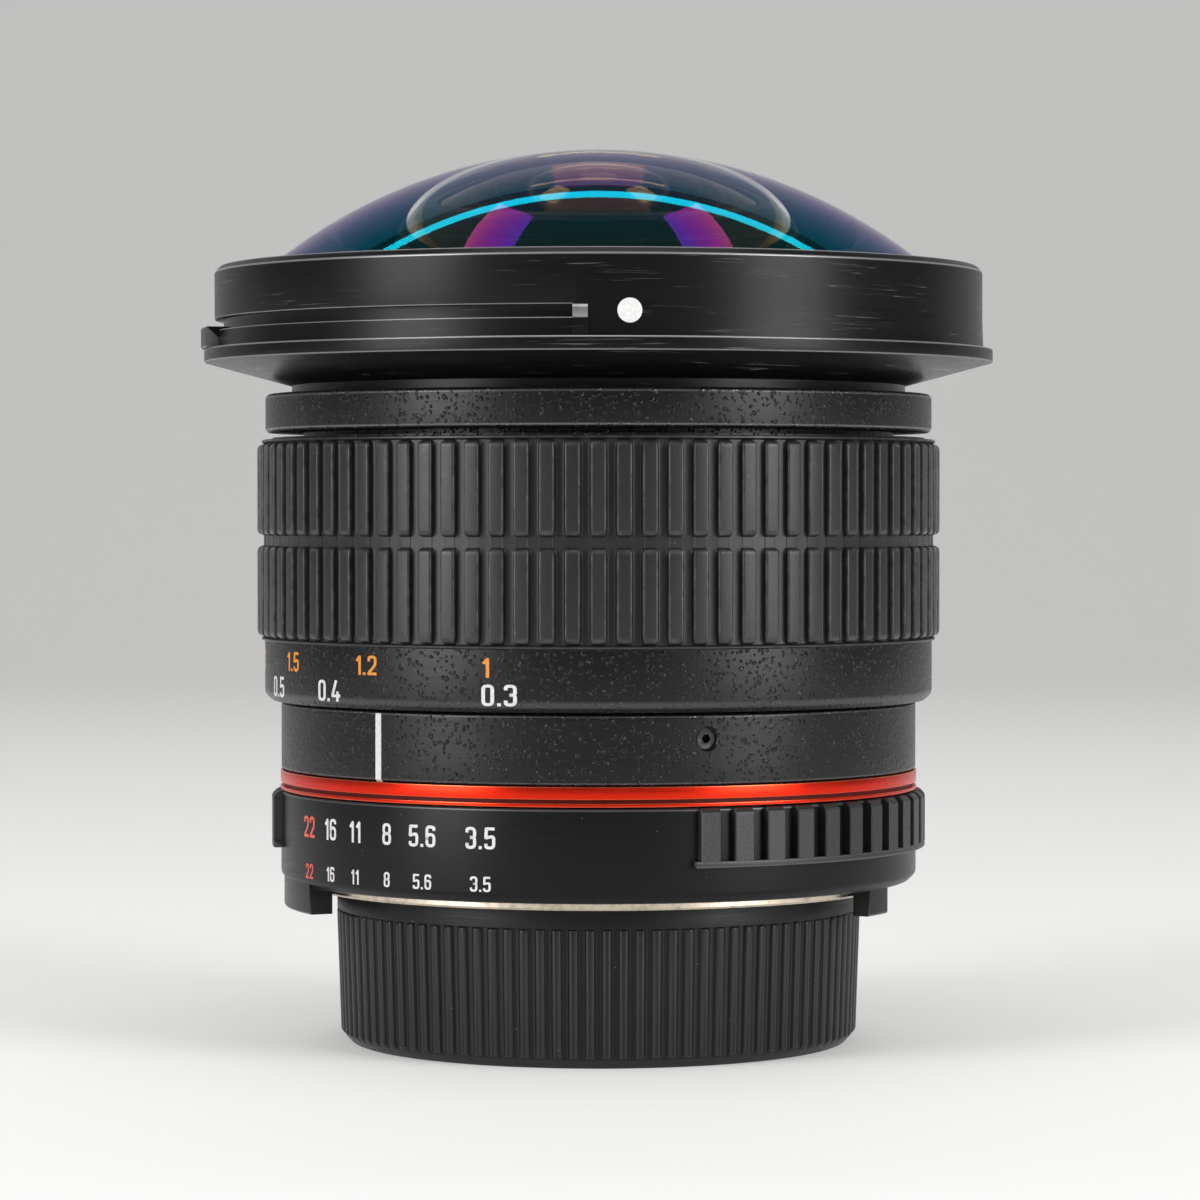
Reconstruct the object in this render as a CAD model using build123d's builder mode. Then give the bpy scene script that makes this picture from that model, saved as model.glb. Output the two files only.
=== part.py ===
"""Fisheye lens with its rear cap on, standing on the cap, lens axis along +Z.

Millimetres. The origin is at the centre of the rear cap's underside. Heights
are measured up the axis and radii from it. Angles are polar, from +X towards +Y,
and the side that carries the index line faces -Y.
"""

import os
from math import asin, atan2, copysign, cos, degrees, hypot, radians, sin, sqrt

from build123d import *

# Fits
slip = 0.02
running = 0.06
land_play = 0.1
seat_gap = 0.02
passing = 0.2
cut_over = 1.0

# Heights of the outside, from the cap's foot to the glass
register_height = 15.2
flange_thickness = 1.2
skirt_lap = 0.8
aperture_height = 8.85
end_play = 0.15
accent_height = 1.9
index_height = 6.7
scale_height = 5.85
grip_height = 19.7
front_gap = 0.5
front_band_height = 3.75
neck_height = 0.85
cone_height = 2.3
hood_flange_height = 1.3
hood_seat_height = 7.5
rim_chamfer = 0.6

# Radii of the outside
cap_radius = 25.9
flange_radius = 28.5
aperture_radius = 31.4
accent_radius = 31.45
index_radius = 31.36
scale_radius = 32.96
grip_radius = 33.0
rib_rise = 0.7
front_radius = 32.9
neck_radius = 30.3
hood_flange_radius = 38.9
hood_radius = 37.87

# Main tube and throat
throat_radius = 20.4
tube_radius = 27.0
tube_shoulder = 0.6
tube_wall = 1.8
rear_wall = 4.0
rear_wall_height = 5.0
throat_neck_wall = 1.55
throat_neck_depth = 3.3

# Motion: degrees of ring turn from where the rings stand, and the cell's lead
focus_low = -26.5
focus_high = 95.2
focus_lead = 4.14
aperture_low = -20.0
aperture_high = 23.8
blade_ratio = 0.5023
detent_travel = 0.25

# Heights worked out from the stack
flange_top = register_height + flange_thickness
aperture_bottom = register_height + skirt_lap
aperture_top = aperture_bottom + aperture_height
accent_bottom = aperture_top + end_play
index_bottom = accent_bottom + accent_height
index_top = index_bottom + index_height
scale_bottom = index_top + end_play
grip_bottom = scale_bottom + scale_height
grip_top = grip_bottom + grip_height
sleeve_top = grip_top + passing
front_bottom = sleeve_top + front_gap
hood_bottom = front_bottom + front_band_height
cone_bottom = hood_bottom + neck_height
hood_flange_bottom = cone_bottom + cone_height
hood_seat_bottom = hood_flange_bottom + hood_flange_height
hood_seat_top = hood_seat_bottom + hood_seat_height
rim_top = hood_seat_top + rim_chamfer

# Radii worked out from the tube
tube_rear_radius = tube_radius + tube_shoulder
tube_bore = tube_radius - tube_wall
rear_bore = tube_rear_radius - rear_wall
rear_bore_top = flange_top + rear_wall_height

pieces = {}


def outward(angle):
    """Direction away from the lens axis at a polar angle."""
    return (cos(radians(angle)), sin(radians(angle)), 0)


def polar(radius, angle):
    """Point at a radius and a polar angle."""
    return (radius * cos(radians(angle)), radius * sin(radians(angle)))


def half_plane(angle):
    """Plane through the lens axis at a polar angle: x is radius and y is height."""
    return Plane(origin=(0, 0, 0), x_dir=outward(angle), z_dir=outward(angle - 90))


def radial_plane(angle, height, radius):
    """Plane that faces away from the axis at a polar angle, with y upwards."""
    return Plane(
        origin=(*polar(radius, angle), height), x_dir=outward(angle + 90), z_dir=outward(angle)
    )


def turned(*points, start=0):
    """Half-section of a turned piece, from its (radius, height) points."""
    with BuildSketch(half_plane(start)) as half:
        with BuildLine():
            Polyline(*points, close=True)
        make_face()
    return half.sketch


def ring(inner, outer, bottom, top, start=0):
    """Half-section of a plain ring."""
    return turned((inner, bottom), (outer, bottom), (outer, top), (inner, top), start=start)


def sag(curve, reach):
    """Drop of a spherical surface at a distance from the axis, negative where it is hollow."""
    return copysign(abs(curve) - sqrt(curve**2 - reach**2), curve)


def lens(edge, front, front_curve, rear, rear_curve, rear_edge):
    """Half-section of a lens from its two poles and curves, hollow at the rear out to rear_edge."""
    with BuildSketch(Plane.XZ) as half:
        with BuildLine():
            front_arc = ThreePointArc(
                (0, front),
                (edge / 2, front - sag(front_curve, edge / 2)),
                (edge, front - sag(front_curve, edge)),
            )
            rear_arc = ThreePointArc(
                (0, rear),
                (rear_edge / 2, rear - sag(rear_curve, rear_edge / 2)),
                (rear_edge, rear - sag(rear_curve, rear_edge)),
            )
            Line((0, rear), (0, front))
            if rear_edge < edge:
                Polyline(front_arc @ 1, (edge, rear - sag(rear_curve, rear_edge)), rear_arc @ 1)
            else:
                Line(front_arc @ 1, rear_arc @ 1)
        make_face()
    return half.sketch


def ribbed(root, crest, count, share, height):
    """Outline of a ribbed ring at a height, with ribs that fill this share of their pitch."""
    pitch = 360 / count
    points = []
    for rib in range(count):
        left = (rib - share / 2) * pitch
        right = (rib + share / 2) * pitch
        points += [polar(root, left), polar(crest, left), polar(crest, right), polar(root, right)]
    with BuildSketch(Plane.XY.offset(height)) as outline:
        with BuildLine():
            Polyline(*points, close=True)
        make_face()
    return outline.sketch


def helix_on(frame, lead, rise, radius):
    """Helix about a plane's normal that starts on the plane's x direction."""
    with BuildLine() as path:
        Helix(lead, rise, radius)
    return path.edge().moved(frame.location)


def arc_through(*points):
    """Arc through three points, as an edge for a slot."""
    with BuildLine() as track:
        ThreePointArc(*points)
    return track.edge()


def countersunk(head_radius, head_height, shank_radius, length, mode=Mode.ADD):
    """Countersunk screw or its hole, head face on the current plane, running down from it."""
    down = (Align.CENTER, Align.CENTER, Align.MAX)
    Cone(shank_radius, head_radius, head_height, align=down, mode=mode)
    Cylinder(shank_radius, length, align=down, mode=mode)


def cross_recess(head_radius, depth):
    """Cross recess cut into a screw head that lies on the current plane."""
    down = (Align.CENTER, Align.CENTER, Align.MAX)
    Box(head_radius, head_radius / 4, depth, align=down, mode=Mode.SUBTRACT)
    Box(head_radius / 4, head_radius, depth, align=down, mode=Mode.SUBTRACT)


# Mount flange: plate, throat neck and three bayonet lugs
neck_outer = throat_radius + throat_neck_wall
neck_bottom = register_height - throat_neck_depth
lug_rise = 1.5
lug_thickness = 1.5
lug_arc = 55
lug_count = 3
first_lug = 90
mount_screw_circle = (rear_bore + tube_rear_radius) / 2
mount_screw_count = 4
mount_screw_start = 45
mount_head_radius = 1.5
mount_head_height = 0.8
mount_shank_radius = 0.7
mount_screw_length = 4.4
head_sink = 0.05
flange_edge = 0.2
mount_screw_face = Plane(
    origin=(0, 0, register_height + head_sink), x_dir=(1, 0, 0), z_dir=(0, 0, -1)
)

with BuildPart() as mount_flange:
    revolve(
        turned(
            (throat_radius, neck_bottom),
            (neck_outer, neck_bottom),
            (neck_outer, register_height),
            (flange_radius - flange_edge, register_height),
            (flange_radius, register_height + flange_edge),
            (flange_radius, flange_top),
            (throat_radius, flange_top),
        ),
        axis=Axis.Z,
    )
    for lug in range(lug_count):
        lug_start = first_lug + lug * 360 / lug_count - lug_arc / 2
        lug_outer = neck_outer + lug_rise
        lug_top = neck_bottom + lug_thickness
        revolve(
            ring(throat_radius, lug_outer, neck_bottom, lug_top, start=lug_start),
            axis=Axis.Z,
            revolution_arc=lug_arc,
        )
    with Locations(mount_screw_face):
        with PolarLocations(mount_screw_circle, mount_screw_count, start_angle=mount_screw_start):
            countersunk(
                mount_head_radius + slip,
                mount_head_height,
                mount_shank_radius + slip,
                mount_screw_length,
                Mode.SUBTRACT,
            )
            Cylinder(
                mount_head_radius + slip,
                cut_over,
                align=(Align.CENTER, Align.CENTER, Align.MIN),
                mode=Mode.SUBTRACT,
            )
pieces["mount_flange"] = mount_flange

with BuildPart() as mount_screws:
    with Locations(mount_screw_face):
        with PolarLocations(mount_screw_circle, mount_screw_count, start_angle=mount_screw_start):
            countersunk(mount_head_radius, mount_head_height, mount_shank_radius, mount_screw_length)
            cross_recess(mount_head_radius, mount_head_height / 2)
pieces["mount_screws"] = mount_screws

# Stop-down lever and the strip that joins it to the iris, on the side away from the index
drive_angle = 90
lever_wall = 1.0
lever_inset = 1.0
lever_width = 3.0
lever_reach = 5.3
lever_foot = 1.2
lever_outer = throat_radius - lever_inset
lever_inner = lever_outer - lever_wall
lever_bottom = register_height - lever_reach
strip_wall = 0.8
strip_width = 1.4
strip_outer = rear_bore - 3 * passing
strip_inner = strip_outer - strip_wall
strip_bottom = flange_top + 3 * passing
slot_play = 1.5


def travel_slot(half_width, radius):
    """Start and arc of a slot that a piece of the drive sweeps, with play at both ends."""
    margin = degrees(asin(half_width / radius)) + slot_play
    return drive_angle + aperture_low - margin, aperture_high - aperture_low + 2 * margin


# Rear baffle: a plate in the throat with a window for the light and a slot for the lever
baffle_thickness = 1.8
baffle_bottom = neck_bottom - 2 * passing
window_width = 24.0
window_height = 17.0
window_corner = 1.0
lever_slot_start, lever_slot_arc = travel_slot(lever_width / 2, lever_inner)

with BuildPart() as rear_baffle:
    with BuildSketch(Plane.XY.offset(baffle_bottom)):
        Circle(throat_radius - slip)
        RectangleRounded(window_width, window_height, window_corner, mode=Mode.SUBTRACT)
    extrude(amount=baffle_thickness)
    revolve(
        ring(
            lever_inner - passing,
            lever_outer + passing,
            baffle_bottom - cut_over,
            baffle_bottom + baffle_thickness + cut_over,
            start=lever_slot_start,
        ),
        axis=Axis.Z,
        revolution_arc=lever_slot_arc,
        mode=Mode.SUBTRACT,
    )
pieces["rear_baffle"] = rear_baffle

# Aperture ring key: joins the ring to the strip through a slot in the main tube
key_thickness = 1.6
key_width = 4.0
key_tenon = 1.6
key_bottom = flange_top + 2 * key_thickness
key_top = key_bottom + key_thickness
key_inner = strip_inner - passing
recess_depth = 0.9
land_height = 1.7
land_radius = tube_rear_radius + land_play
recess_radius = land_radius + recess_depth
key_outer = recess_radius + key_tenon

# Detent: a ball pressed outwards against the ring's notches
ball_angle = -30
ball_radius = 0.75
ball_height = key_bottom + key_thickness / 4
ball_centre = recess_radius - seat_gap - slip - ball_radius
detent_depth = 3.0
detent_bore = ball_radius + seat_gap + slip

# Focus cell followers, in straight slots of the tube
follower_count = 2
follower_radius = 1.1
follower_rise = 7.9
follower_height = index_top + follower_rise
follower_slot = follower_radius + running
cell_rise = -focus_low / 360 * focus_lead
cell_drop = focus_high / 360 * focus_lead

key_slot_start, key_slot_arc = travel_slot(key_width / 2, rear_bore)

with BuildPart() as main_tube:
    revolve(
        turned(
            (rear_bore, flange_top),
            (tube_rear_radius, flange_top),
            (tube_rear_radius, accent_bottom),
            (tube_radius, accent_bottom),
            (tube_radius, hood_bottom),
            (tube_bore, hood_bottom),
            (tube_bore, rear_bore_top),
            (rear_bore, rear_bore_top),
        ),
        axis=Axis.Z,
    )
    revolve(
        ring(
            rear_bore - cut_over,
            tube_rear_radius + cut_over,
            key_bottom - passing,
            key_top + passing,
            start=key_slot_start,
        ),
        axis=Axis.Z,
        revolution_arc=key_slot_arc,
        mode=Mode.SUBTRACT,
    )
    for follower in range(follower_count):
        slot_angle = follower * 360 / follower_count
        slot_middle = follower_height + (cell_rise - cell_drop) / 2
        with BuildSketch(radial_plane(slot_angle, slot_middle, tube_bore - cut_over)):
            SlotOverall(cell_rise + cell_drop + 2 * follower_slot, 2 * follower_slot, rotation=90)
        extrude(amount=tube_wall + 2 * cut_over, mode=Mode.SUBTRACT)
    with BuildSketch(radial_plane(ball_angle, ball_height, tube_rear_radius + cut_over)):
        Circle(detent_bore)
    extrude(amount=-detent_depth - cut_over, mode=Mode.SUBTRACT)
    with Locations(Plane.XY.offset(flange_top)):
        with PolarLocations(mount_screw_circle, mount_screw_count, start_angle=mount_screw_start):
            Cylinder(
                mount_shank_radius + slip,
                mount_screw_length - flange_thickness + seat_gap + head_sink,
                align=(Align.CENTER, Align.CENTER, Align.MIN),
                mode=Mode.SUBTRACT,
            )
pieces["main_tube"] = main_tube

# Detent spring: a coil behind the ball
spring_wire = 0.1
spring_turns = 5
spring_coil = detent_bore - spring_wire - 2 * seat_gap
spring_start = tube_rear_radius - detent_depth + spring_wire + slip
spring_length = ball_centre - ball_radius - slip - 2 * spring_wire - spring_start

with BuildPart() as detent_spring:
    spring_frame = radial_plane(ball_angle, ball_height, spring_start)
    coil = helix_on(spring_frame, spring_length / spring_turns, spring_length, spring_coil)
    with BuildSketch(Plane(origin=coil @ 0, z_dir=coil % 0)):
        Circle(spring_wire)
    sweep(path=coil, is_frenet=True)
pieces["detent_spring"] = detent_spring

with BuildPart() as detent_ball:
    with Locations(radial_plane(ball_angle, ball_height, ball_centre)):
        Sphere(ball_radius)
pieces["detent_ball"] = detent_ball

# Aperture ring: bearing lands, detent notches, finger ridges and a skirt with a ridge and a lug
ring_chamfer = 0.75
ring_top_chamfer = 0.15
counterbore_radius = flange_radius + passing
counterbore_top = flange_top + passing / 2
notch_height = aperture_height - 2 * land_height
middle_stops = (-8.1, 0, 8.1, 15.8)
notch_turns = (aperture_low, *middle_stops, aperture_high)
notch_centre = ball_centre + detent_travel
block_rise = 0.9
block_height = 5.5
block_count = 14
block_pitch = 6.05
block_width = 1.95
block_chamfer = 0.45
block_rim_height = 0.6
block_margin = 2.6
first_block = -71.1
skirt_drop = 2.5
ridge_start = 140
ridge_arc = 66.7
lug_wall = 1.8
ridge_wall = 2.4
ring_lug_start = -31.7
ring_lug_arc = 7.8
skirt_inner = flange_radius + passing
skirt_bottom = aperture_bottom - skirt_drop
skirt_chamfer = 0.3

with BuildPart() as aperture_ring:
    block_outer = aperture_radius + block_rise
    block_bottom = aperture_top - block_height
    for block in range(2 * block_count):
        side, place = divmod(block, block_count)
        with BuildSketch(half_plane(first_block + side * 180 + place * block_pitch)):
            with BuildLine():
                Polyline(
                    (aperture_radius - block_rise / 2, block_bottom),
                    (block_outer - block_chamfer, block_bottom),
                    (block_outer, block_bottom + block_chamfer),
                    (block_outer, aperture_top - block_chamfer),
                    (block_outer - block_chamfer, aperture_top),
                    (aperture_radius - block_rise / 2, aperture_top),
                    close=True,
                )
            make_face()
    extrude(amount=block_width / 2, both=True, clean=False)
    for side in range(2):
        revolve(
            ring(
                aperture_radius - block_rise / 2,
                block_outer,
                block_bottom,
                block_bottom + block_rim_height,
                start=first_block + side * 180 - block_margin,
            ),
            axis=Axis.Z,
            revolution_arc=(block_count - 1) * block_pitch + 2 * block_margin,
            clean=False,
        )
    revolve(
        turned(
            (counterbore_radius, aperture_bottom),
            (aperture_radius - ring_chamfer, aperture_bottom),
            (aperture_radius, aperture_bottom + ring_chamfer),
            (aperture_radius, aperture_top - ring_top_chamfer),
            (aperture_radius - ring_top_chamfer, aperture_top),
            (land_radius, aperture_top),
            (land_radius, aperture_top - land_height),
            (recess_radius, aperture_top - land_height),
            (recess_radius, aperture_bottom + land_height + skirt_lap),
            (land_radius, aperture_bottom + land_height + skirt_lap),
            (land_radius, counterbore_top),
            (counterbore_radius, counterbore_top),
        ),
        axis=Axis.Z,
        clean=False,
    )
    revolve(
        turned(
            (skirt_inner, skirt_bottom),
            (skirt_inner + ridge_wall - skirt_chamfer, skirt_bottom),
            (skirt_inner + ridge_wall, skirt_bottom + skirt_chamfer),
            (skirt_inner + ridge_wall, aperture_bottom + ring_chamfer),
            (skirt_inner, aperture_bottom + ring_chamfer),
            start=ridge_start,
        ),
        axis=Axis.Z,
        revolution_arc=ridge_arc,
        clean=False,
    )
    revolve(
        ring(
            skirt_inner,
            skirt_inner + lug_wall,
            skirt_bottom,
            aperture_bottom + ring_chamfer,
            start=ring_lug_start,
        ),
        axis=Axis.Z,
        revolution_arc=ring_lug_arc,
        clean=False,
    )
    with BuildSketch(Plane.XY.offset(aperture_top - land_height)):
        with Locations(*[polar(notch_centre, ball_angle - turn) for turn in notch_turns]):
            Circle(ball_radius + seat_gap + slip)
    extrude(amount=-notch_height + skirt_lap, mode=Mode.SUBTRACT, clean=False)
    with BuildSketch(radial_plane(drive_angle, key_bottom + key_thickness / 2, land_radius)):
        Rectangle(key_width + 2 * slip, key_thickness + 2 * slip)
    extrude(amount=key_outer + slip - land_radius, mode=Mode.SUBTRACT, clean=False)
pieces["aperture_ring"] = aperture_ring

with BuildPart() as ring_key:
    with BuildSketch(radial_plane(drive_angle, key_bottom + key_thickness / 2, key_inner)):
        Rectangle(key_width, key_thickness)
    extrude(amount=key_outer - key_inner)
    with BuildSketch(radial_plane(drive_angle, key_bottom + key_thickness / 2, key_inner)):
        Rectangle(strip_width + 2 * running, 2 * key_thickness)
    extrude(amount=strip_outer + running - key_inner, mode=Mode.SUBTRACT)
pieces["ring_key"] = ring_key

# Index barrel: fixed ring with a spigot that carries the accent ring, and its grub screws
spigot_step = 1.5
spigot_radius = index_radius - spigot_step
index_edge = 0.25
grub_angles = (-71.2, 48.8, 168.8)
grub_radius = 0.95
grub_sink = 0.5
grub_socket = 0.45
socket_sides = 6
grub_depth = 1.2
grub_rise = 4.35
grub_height = index_bottom + grub_rise
pin_radius = 0.8
pin_circle = 30.3
pin_sink = 1.2
pin_stand = 0.95
pin_angle = 90

with BuildPart() as index_barrel:
    revolve(
        turned(
            (tube_radius + slip, accent_bottom),
            (spigot_radius, accent_bottom),
            (spigot_radius, index_bottom),
            (index_radius - index_edge, index_bottom),
            (index_radius, index_bottom + index_edge),
            (index_radius, index_top - index_edge),
            (index_radius - index_edge, index_top),
            (tube_radius + slip, index_top),
        ),
        axis=Axis.Z,
    )
    for angle in grub_angles:
        with BuildSketch(radial_plane(angle, grub_height, tube_radius)):
            Circle(grub_radius + slip)
        extrude(amount=index_radius - tube_radius + cut_over, mode=Mode.SUBTRACT)
    with BuildSketch(Plane.XY.offset(index_top)):
        with Locations(polar(pin_circle, pin_angle)):
            Circle(pin_radius + slip)
    extrude(amount=-pin_sink, mode=Mode.SUBTRACT)
pieces["index_barrel"] = index_barrel

with BuildPart() as set_screws:
    for angle in grub_angles:
        with BuildSketch(radial_plane(angle, grub_height, tube_radius + slip)):
            Circle(grub_radius)
        extrude(amount=index_radius - grub_sink - tube_radius - slip)
        with BuildSketch(radial_plane(angle, grub_height, index_radius - grub_sink)):
            RegularPolygon(grub_socket, socket_sides)
        extrude(amount=-grub_depth, mode=Mode.SUBTRACT)
pieces["set_screws"] = set_screws

with BuildPart() as focus_stop_pin:
    with BuildSketch(Plane.XY.offset(index_top - pin_sink)):
        with Locations(polar(pin_circle, pin_angle)):
            Circle(pin_radius)
    extrude(amount=pin_sink + pin_stand)
pieces["focus_stop_pin"] = focus_stop_pin

# Accent ring: a thin ridge, a fine groove and the main band
accent_ridge = 0.35
accent_groove = 0.35
accent_groove_depth = 0.45

with BuildPart() as accent_ring:
    revolve(
        turned(
            (spigot_radius + slip, accent_bottom),
            (accent_radius, accent_bottom),
            (accent_radius, accent_bottom + accent_ridge),
            (accent_radius - accent_groove_depth, accent_bottom + accent_ridge),
            (accent_radius - accent_groove_depth, accent_bottom + accent_ridge + accent_groove),
            (accent_radius, accent_bottom + accent_ridge + accent_groove),
            (accent_radius, index_bottom),
            (spigot_radius + slip, index_bottom),
        ),
        axis=Axis.Z,
    )
pieces["accent_ring"] = accent_ring

# Focus cam ring: turns on the main tube, with one helical slot for each follower
cam_wall = 2.14
cam_inner = tube_radius + running
cam_outer = cam_inner + cam_wall
lip_height = 1.85
cam_bottom = scale_bottom + lip_height
cam_height = 14.4
cam_top = cam_bottom + cam_height
focus_travel = focus_high - focus_low
slot_low = follower_height - cell_drop

with BuildPart() as cam_ring:
    revolve(ring(cam_inner, cam_outer, cam_bottom, cam_top), axis=Axis.Z)
    for follower in range(follower_count):
        rest_angle = follower * 360 / follower_count
        start_angle = rest_angle - focus_high
        end_angle = rest_angle - focus_low
        slot_frame = Plane(origin=(0, 0, slot_low), x_dir=outward(start_angle), z_dir=(0, 0, 1))
        slot_rise = focus_lead * focus_travel / 360
        slot_path = helix_on(slot_frame, focus_lead, slot_rise, (cam_inner + cam_outer) / 2)
        with BuildSketch(Plane(origin=slot_path @ 0, x_dir=outward(start_angle), z_dir=slot_path % 0)):
            Rectangle(cam_wall + cut_over, 2 * follower_slot)
        sweep(path=slot_path, is_frenet=True, mode=Mode.SUBTRACT)
        slot_ends = ((start_angle, slot_low), (end_angle, follower_height + cell_rise))
        for end, height in slot_ends:
            with BuildSketch(radial_plane(end, height, cam_inner - cut_over)):
                Circle(follower_slot)
            extrude(amount=cam_wall + 2 * cut_over, mode=Mode.SUBTRACT)
pieces["cam_ring"] = cam_ring

# Focus sleeve: carries the distance scale, the rubber grip and the cam ring
grip_wall = 0.8
seat_radius = grip_radius - grip_wall
sleeve_inner = cam_outer + slip
lip_radius = tube_radius + passing
scale_round = 0.75
cam_screw_angles = (30, 150, 270)
cam_screw_head = 1.1
cam_screw_head_height = 0.7
cam_screw_shank = 0.6
cam_screw_bite = 1.2
cam_screw_drop = 3.0
cam_screw_height = cam_top - cam_screw_drop
groove_width = 2 * (pin_radius + passing / 2)

with BuildPart() as focus_sleeve:
    revolve(
        turned(
            (lip_radius, scale_bottom),
            (scale_radius - scale_round, scale_bottom),
            (scale_radius - scale_round / 3, scale_bottom + scale_round / 3),
            (scale_radius, scale_bottom + scale_round),
            (scale_radius, grip_bottom),
            (seat_radius, grip_bottom),
            (seat_radius, sleeve_top),
            (sleeve_inner, sleeve_top),
            (sleeve_inner, cam_bottom),
            (lip_radius, cam_bottom),
        ),
        axis=Axis.Z,
    )
    groove_track = arc_through(
        polar(pin_circle, pin_angle - focus_high),
        polar(pin_circle, pin_angle - (focus_high + focus_low) / 2),
        polar(pin_circle, pin_angle - focus_low),
    )
    with BuildSketch(Plane.XY.offset(scale_bottom)):
        SlotArc(groove_track, groove_width)
    extrude(amount=pin_stand + passing - end_play, mode=Mode.SUBTRACT)
    for angle in cam_screw_angles:
        with Locations(radial_plane(angle, cam_screw_height, seat_radius)):
            countersunk(
                cam_screw_head + slip,
                cam_screw_head_height + slip,
                cam_screw_shank + slip,
                seat_radius - sleeve_inner + cut_over,
                Mode.SUBTRACT,
            )
pieces["focus_sleeve"] = focus_sleeve

with BuildPart() as cam_ring_screws:
    for angle in cam_screw_angles:
        with Locations(radial_plane(angle, cam_screw_height, seat_radius - slip)):
            countersunk(
                cam_screw_head,
                cam_screw_head_height,
                cam_screw_shank,
                seat_radius - sleeve_inner + cam_screw_bite,
            )
            cross_recess(cam_screw_head, cam_screw_head_height / 2)
pieces["cam_ring_screws"] = cam_ring_screws

with cam_ring:
    for angle in cam_screw_angles:
        with BuildSketch(radial_plane(angle, cam_screw_height, cam_inner - cut_over)):
            Circle(cam_screw_shank + slip)
        extrude(amount=cam_wall + 2 * cut_over, mode=Mode.SUBTRACT)

# Focus grip: rubber, two rows of short ribs with a smooth groove between them
rib_count = 88
rib_share = 0.6
rib_round = 0.45
middle_groove = 0.87
lower_row = 9.39
rib_outer = grip_radius + rib_rise
groove_low = grip_bottom + lower_row
groove_high = groove_low + middle_groove

with BuildPart() as focus_grip:
    extrude(
        ribbed(grip_radius, rib_outer, rib_count, rib_share, grip_bottom),
        amount=grip_height,
        clean=False,
    )
    with BuildSketch(Plane.XY.offset(grip_bottom)):
        Circle(seat_radius + slip)
    extrude(amount=grip_height, mode=Mode.SUBTRACT, clean=False)
    revolve(
        turned(
            (grip_radius, groove_low),
            (grip_radius, groove_high),
            (rib_outer, groove_high + rib_round),
            (rib_outer + rib_rise, groove_high + rib_round),
            (rib_outer + rib_rise, groove_low - rib_round),
            (rib_outer, groove_low - rib_round),
        ),
        axis=Axis.Z,
        mode=Mode.SUBTRACT,
        clean=False,
    )
pieces["focus_grip"] = focus_grip

# Front barrel: band above the grip, with a spigot that the focus sleeve turns on
spigot_length = 9.8
front_edge = 0.3
hood_screw_count = 4
hood_screw_start = 45
hood_screw_inset = 1.7
hood_screw_circle = neck_radius - hood_screw_inset
hood_head_radius = 1.4
hood_head_height = 0.8
hood_shank_radius = 0.7
hood_screw_length = 4.2

with BuildPart() as front_barrel:
    revolve(
        turned(
            (tube_radius + slip, front_bottom - spigot_length + passing),
            (sleeve_inner - running, front_bottom - spigot_length + passing),
            (sleeve_inner - running, front_bottom),
            (front_radius - front_edge, front_bottom),
            (front_radius, front_bottom + front_edge),
            (front_radius, hood_bottom - front_edge),
            (front_radius - front_edge, hood_bottom),
            (tube_radius + slip, hood_bottom),
        ),
        axis=Axis.Z,
    )
    with Locations(Plane.XY.offset(hood_bottom)):
        with PolarLocations(hood_screw_circle, hood_screw_count, start_angle=hood_screw_start):
            Cylinder(
                hood_shank_radius + slip,
                hood_screw_length,
                align=(Align.CENTER, Align.CENTER, Align.MAX),
                mode=Mode.SUBTRACT,
            )
pieces["front_barrel"] = front_barrel

# Hood ring: neck, cone, flange and the seat for the hood, with its bayonet groove
floor_thickness = 1.15
floor_inner = 24.0
bore_wall = 1.82
hood_bore = hood_radius - bore_wall
cavity_radius = neck_radius - passing
rim_land = 0.57
cell_seat_rise = 0.7
cell_seat = hood_seat_bottom + cell_seat_rise
groove_rise = 1.7
groove_bottom = hood_seat_bottom + groove_rise
groove_height = 1.16
groove_top = groove_bottom + groove_height
seat_draft = 0.1
groove_depth = 0.9
groove_start = 170
groove_arc = 98.55
stop_arc = 2.1
stop_rise = 0.25
pad_rise = 1.33
pad_height = 2.0
pad_start = 175
pad_arc = 19
pad_gap_start = 187.5
pad_gap_arc = 2.0

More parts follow.
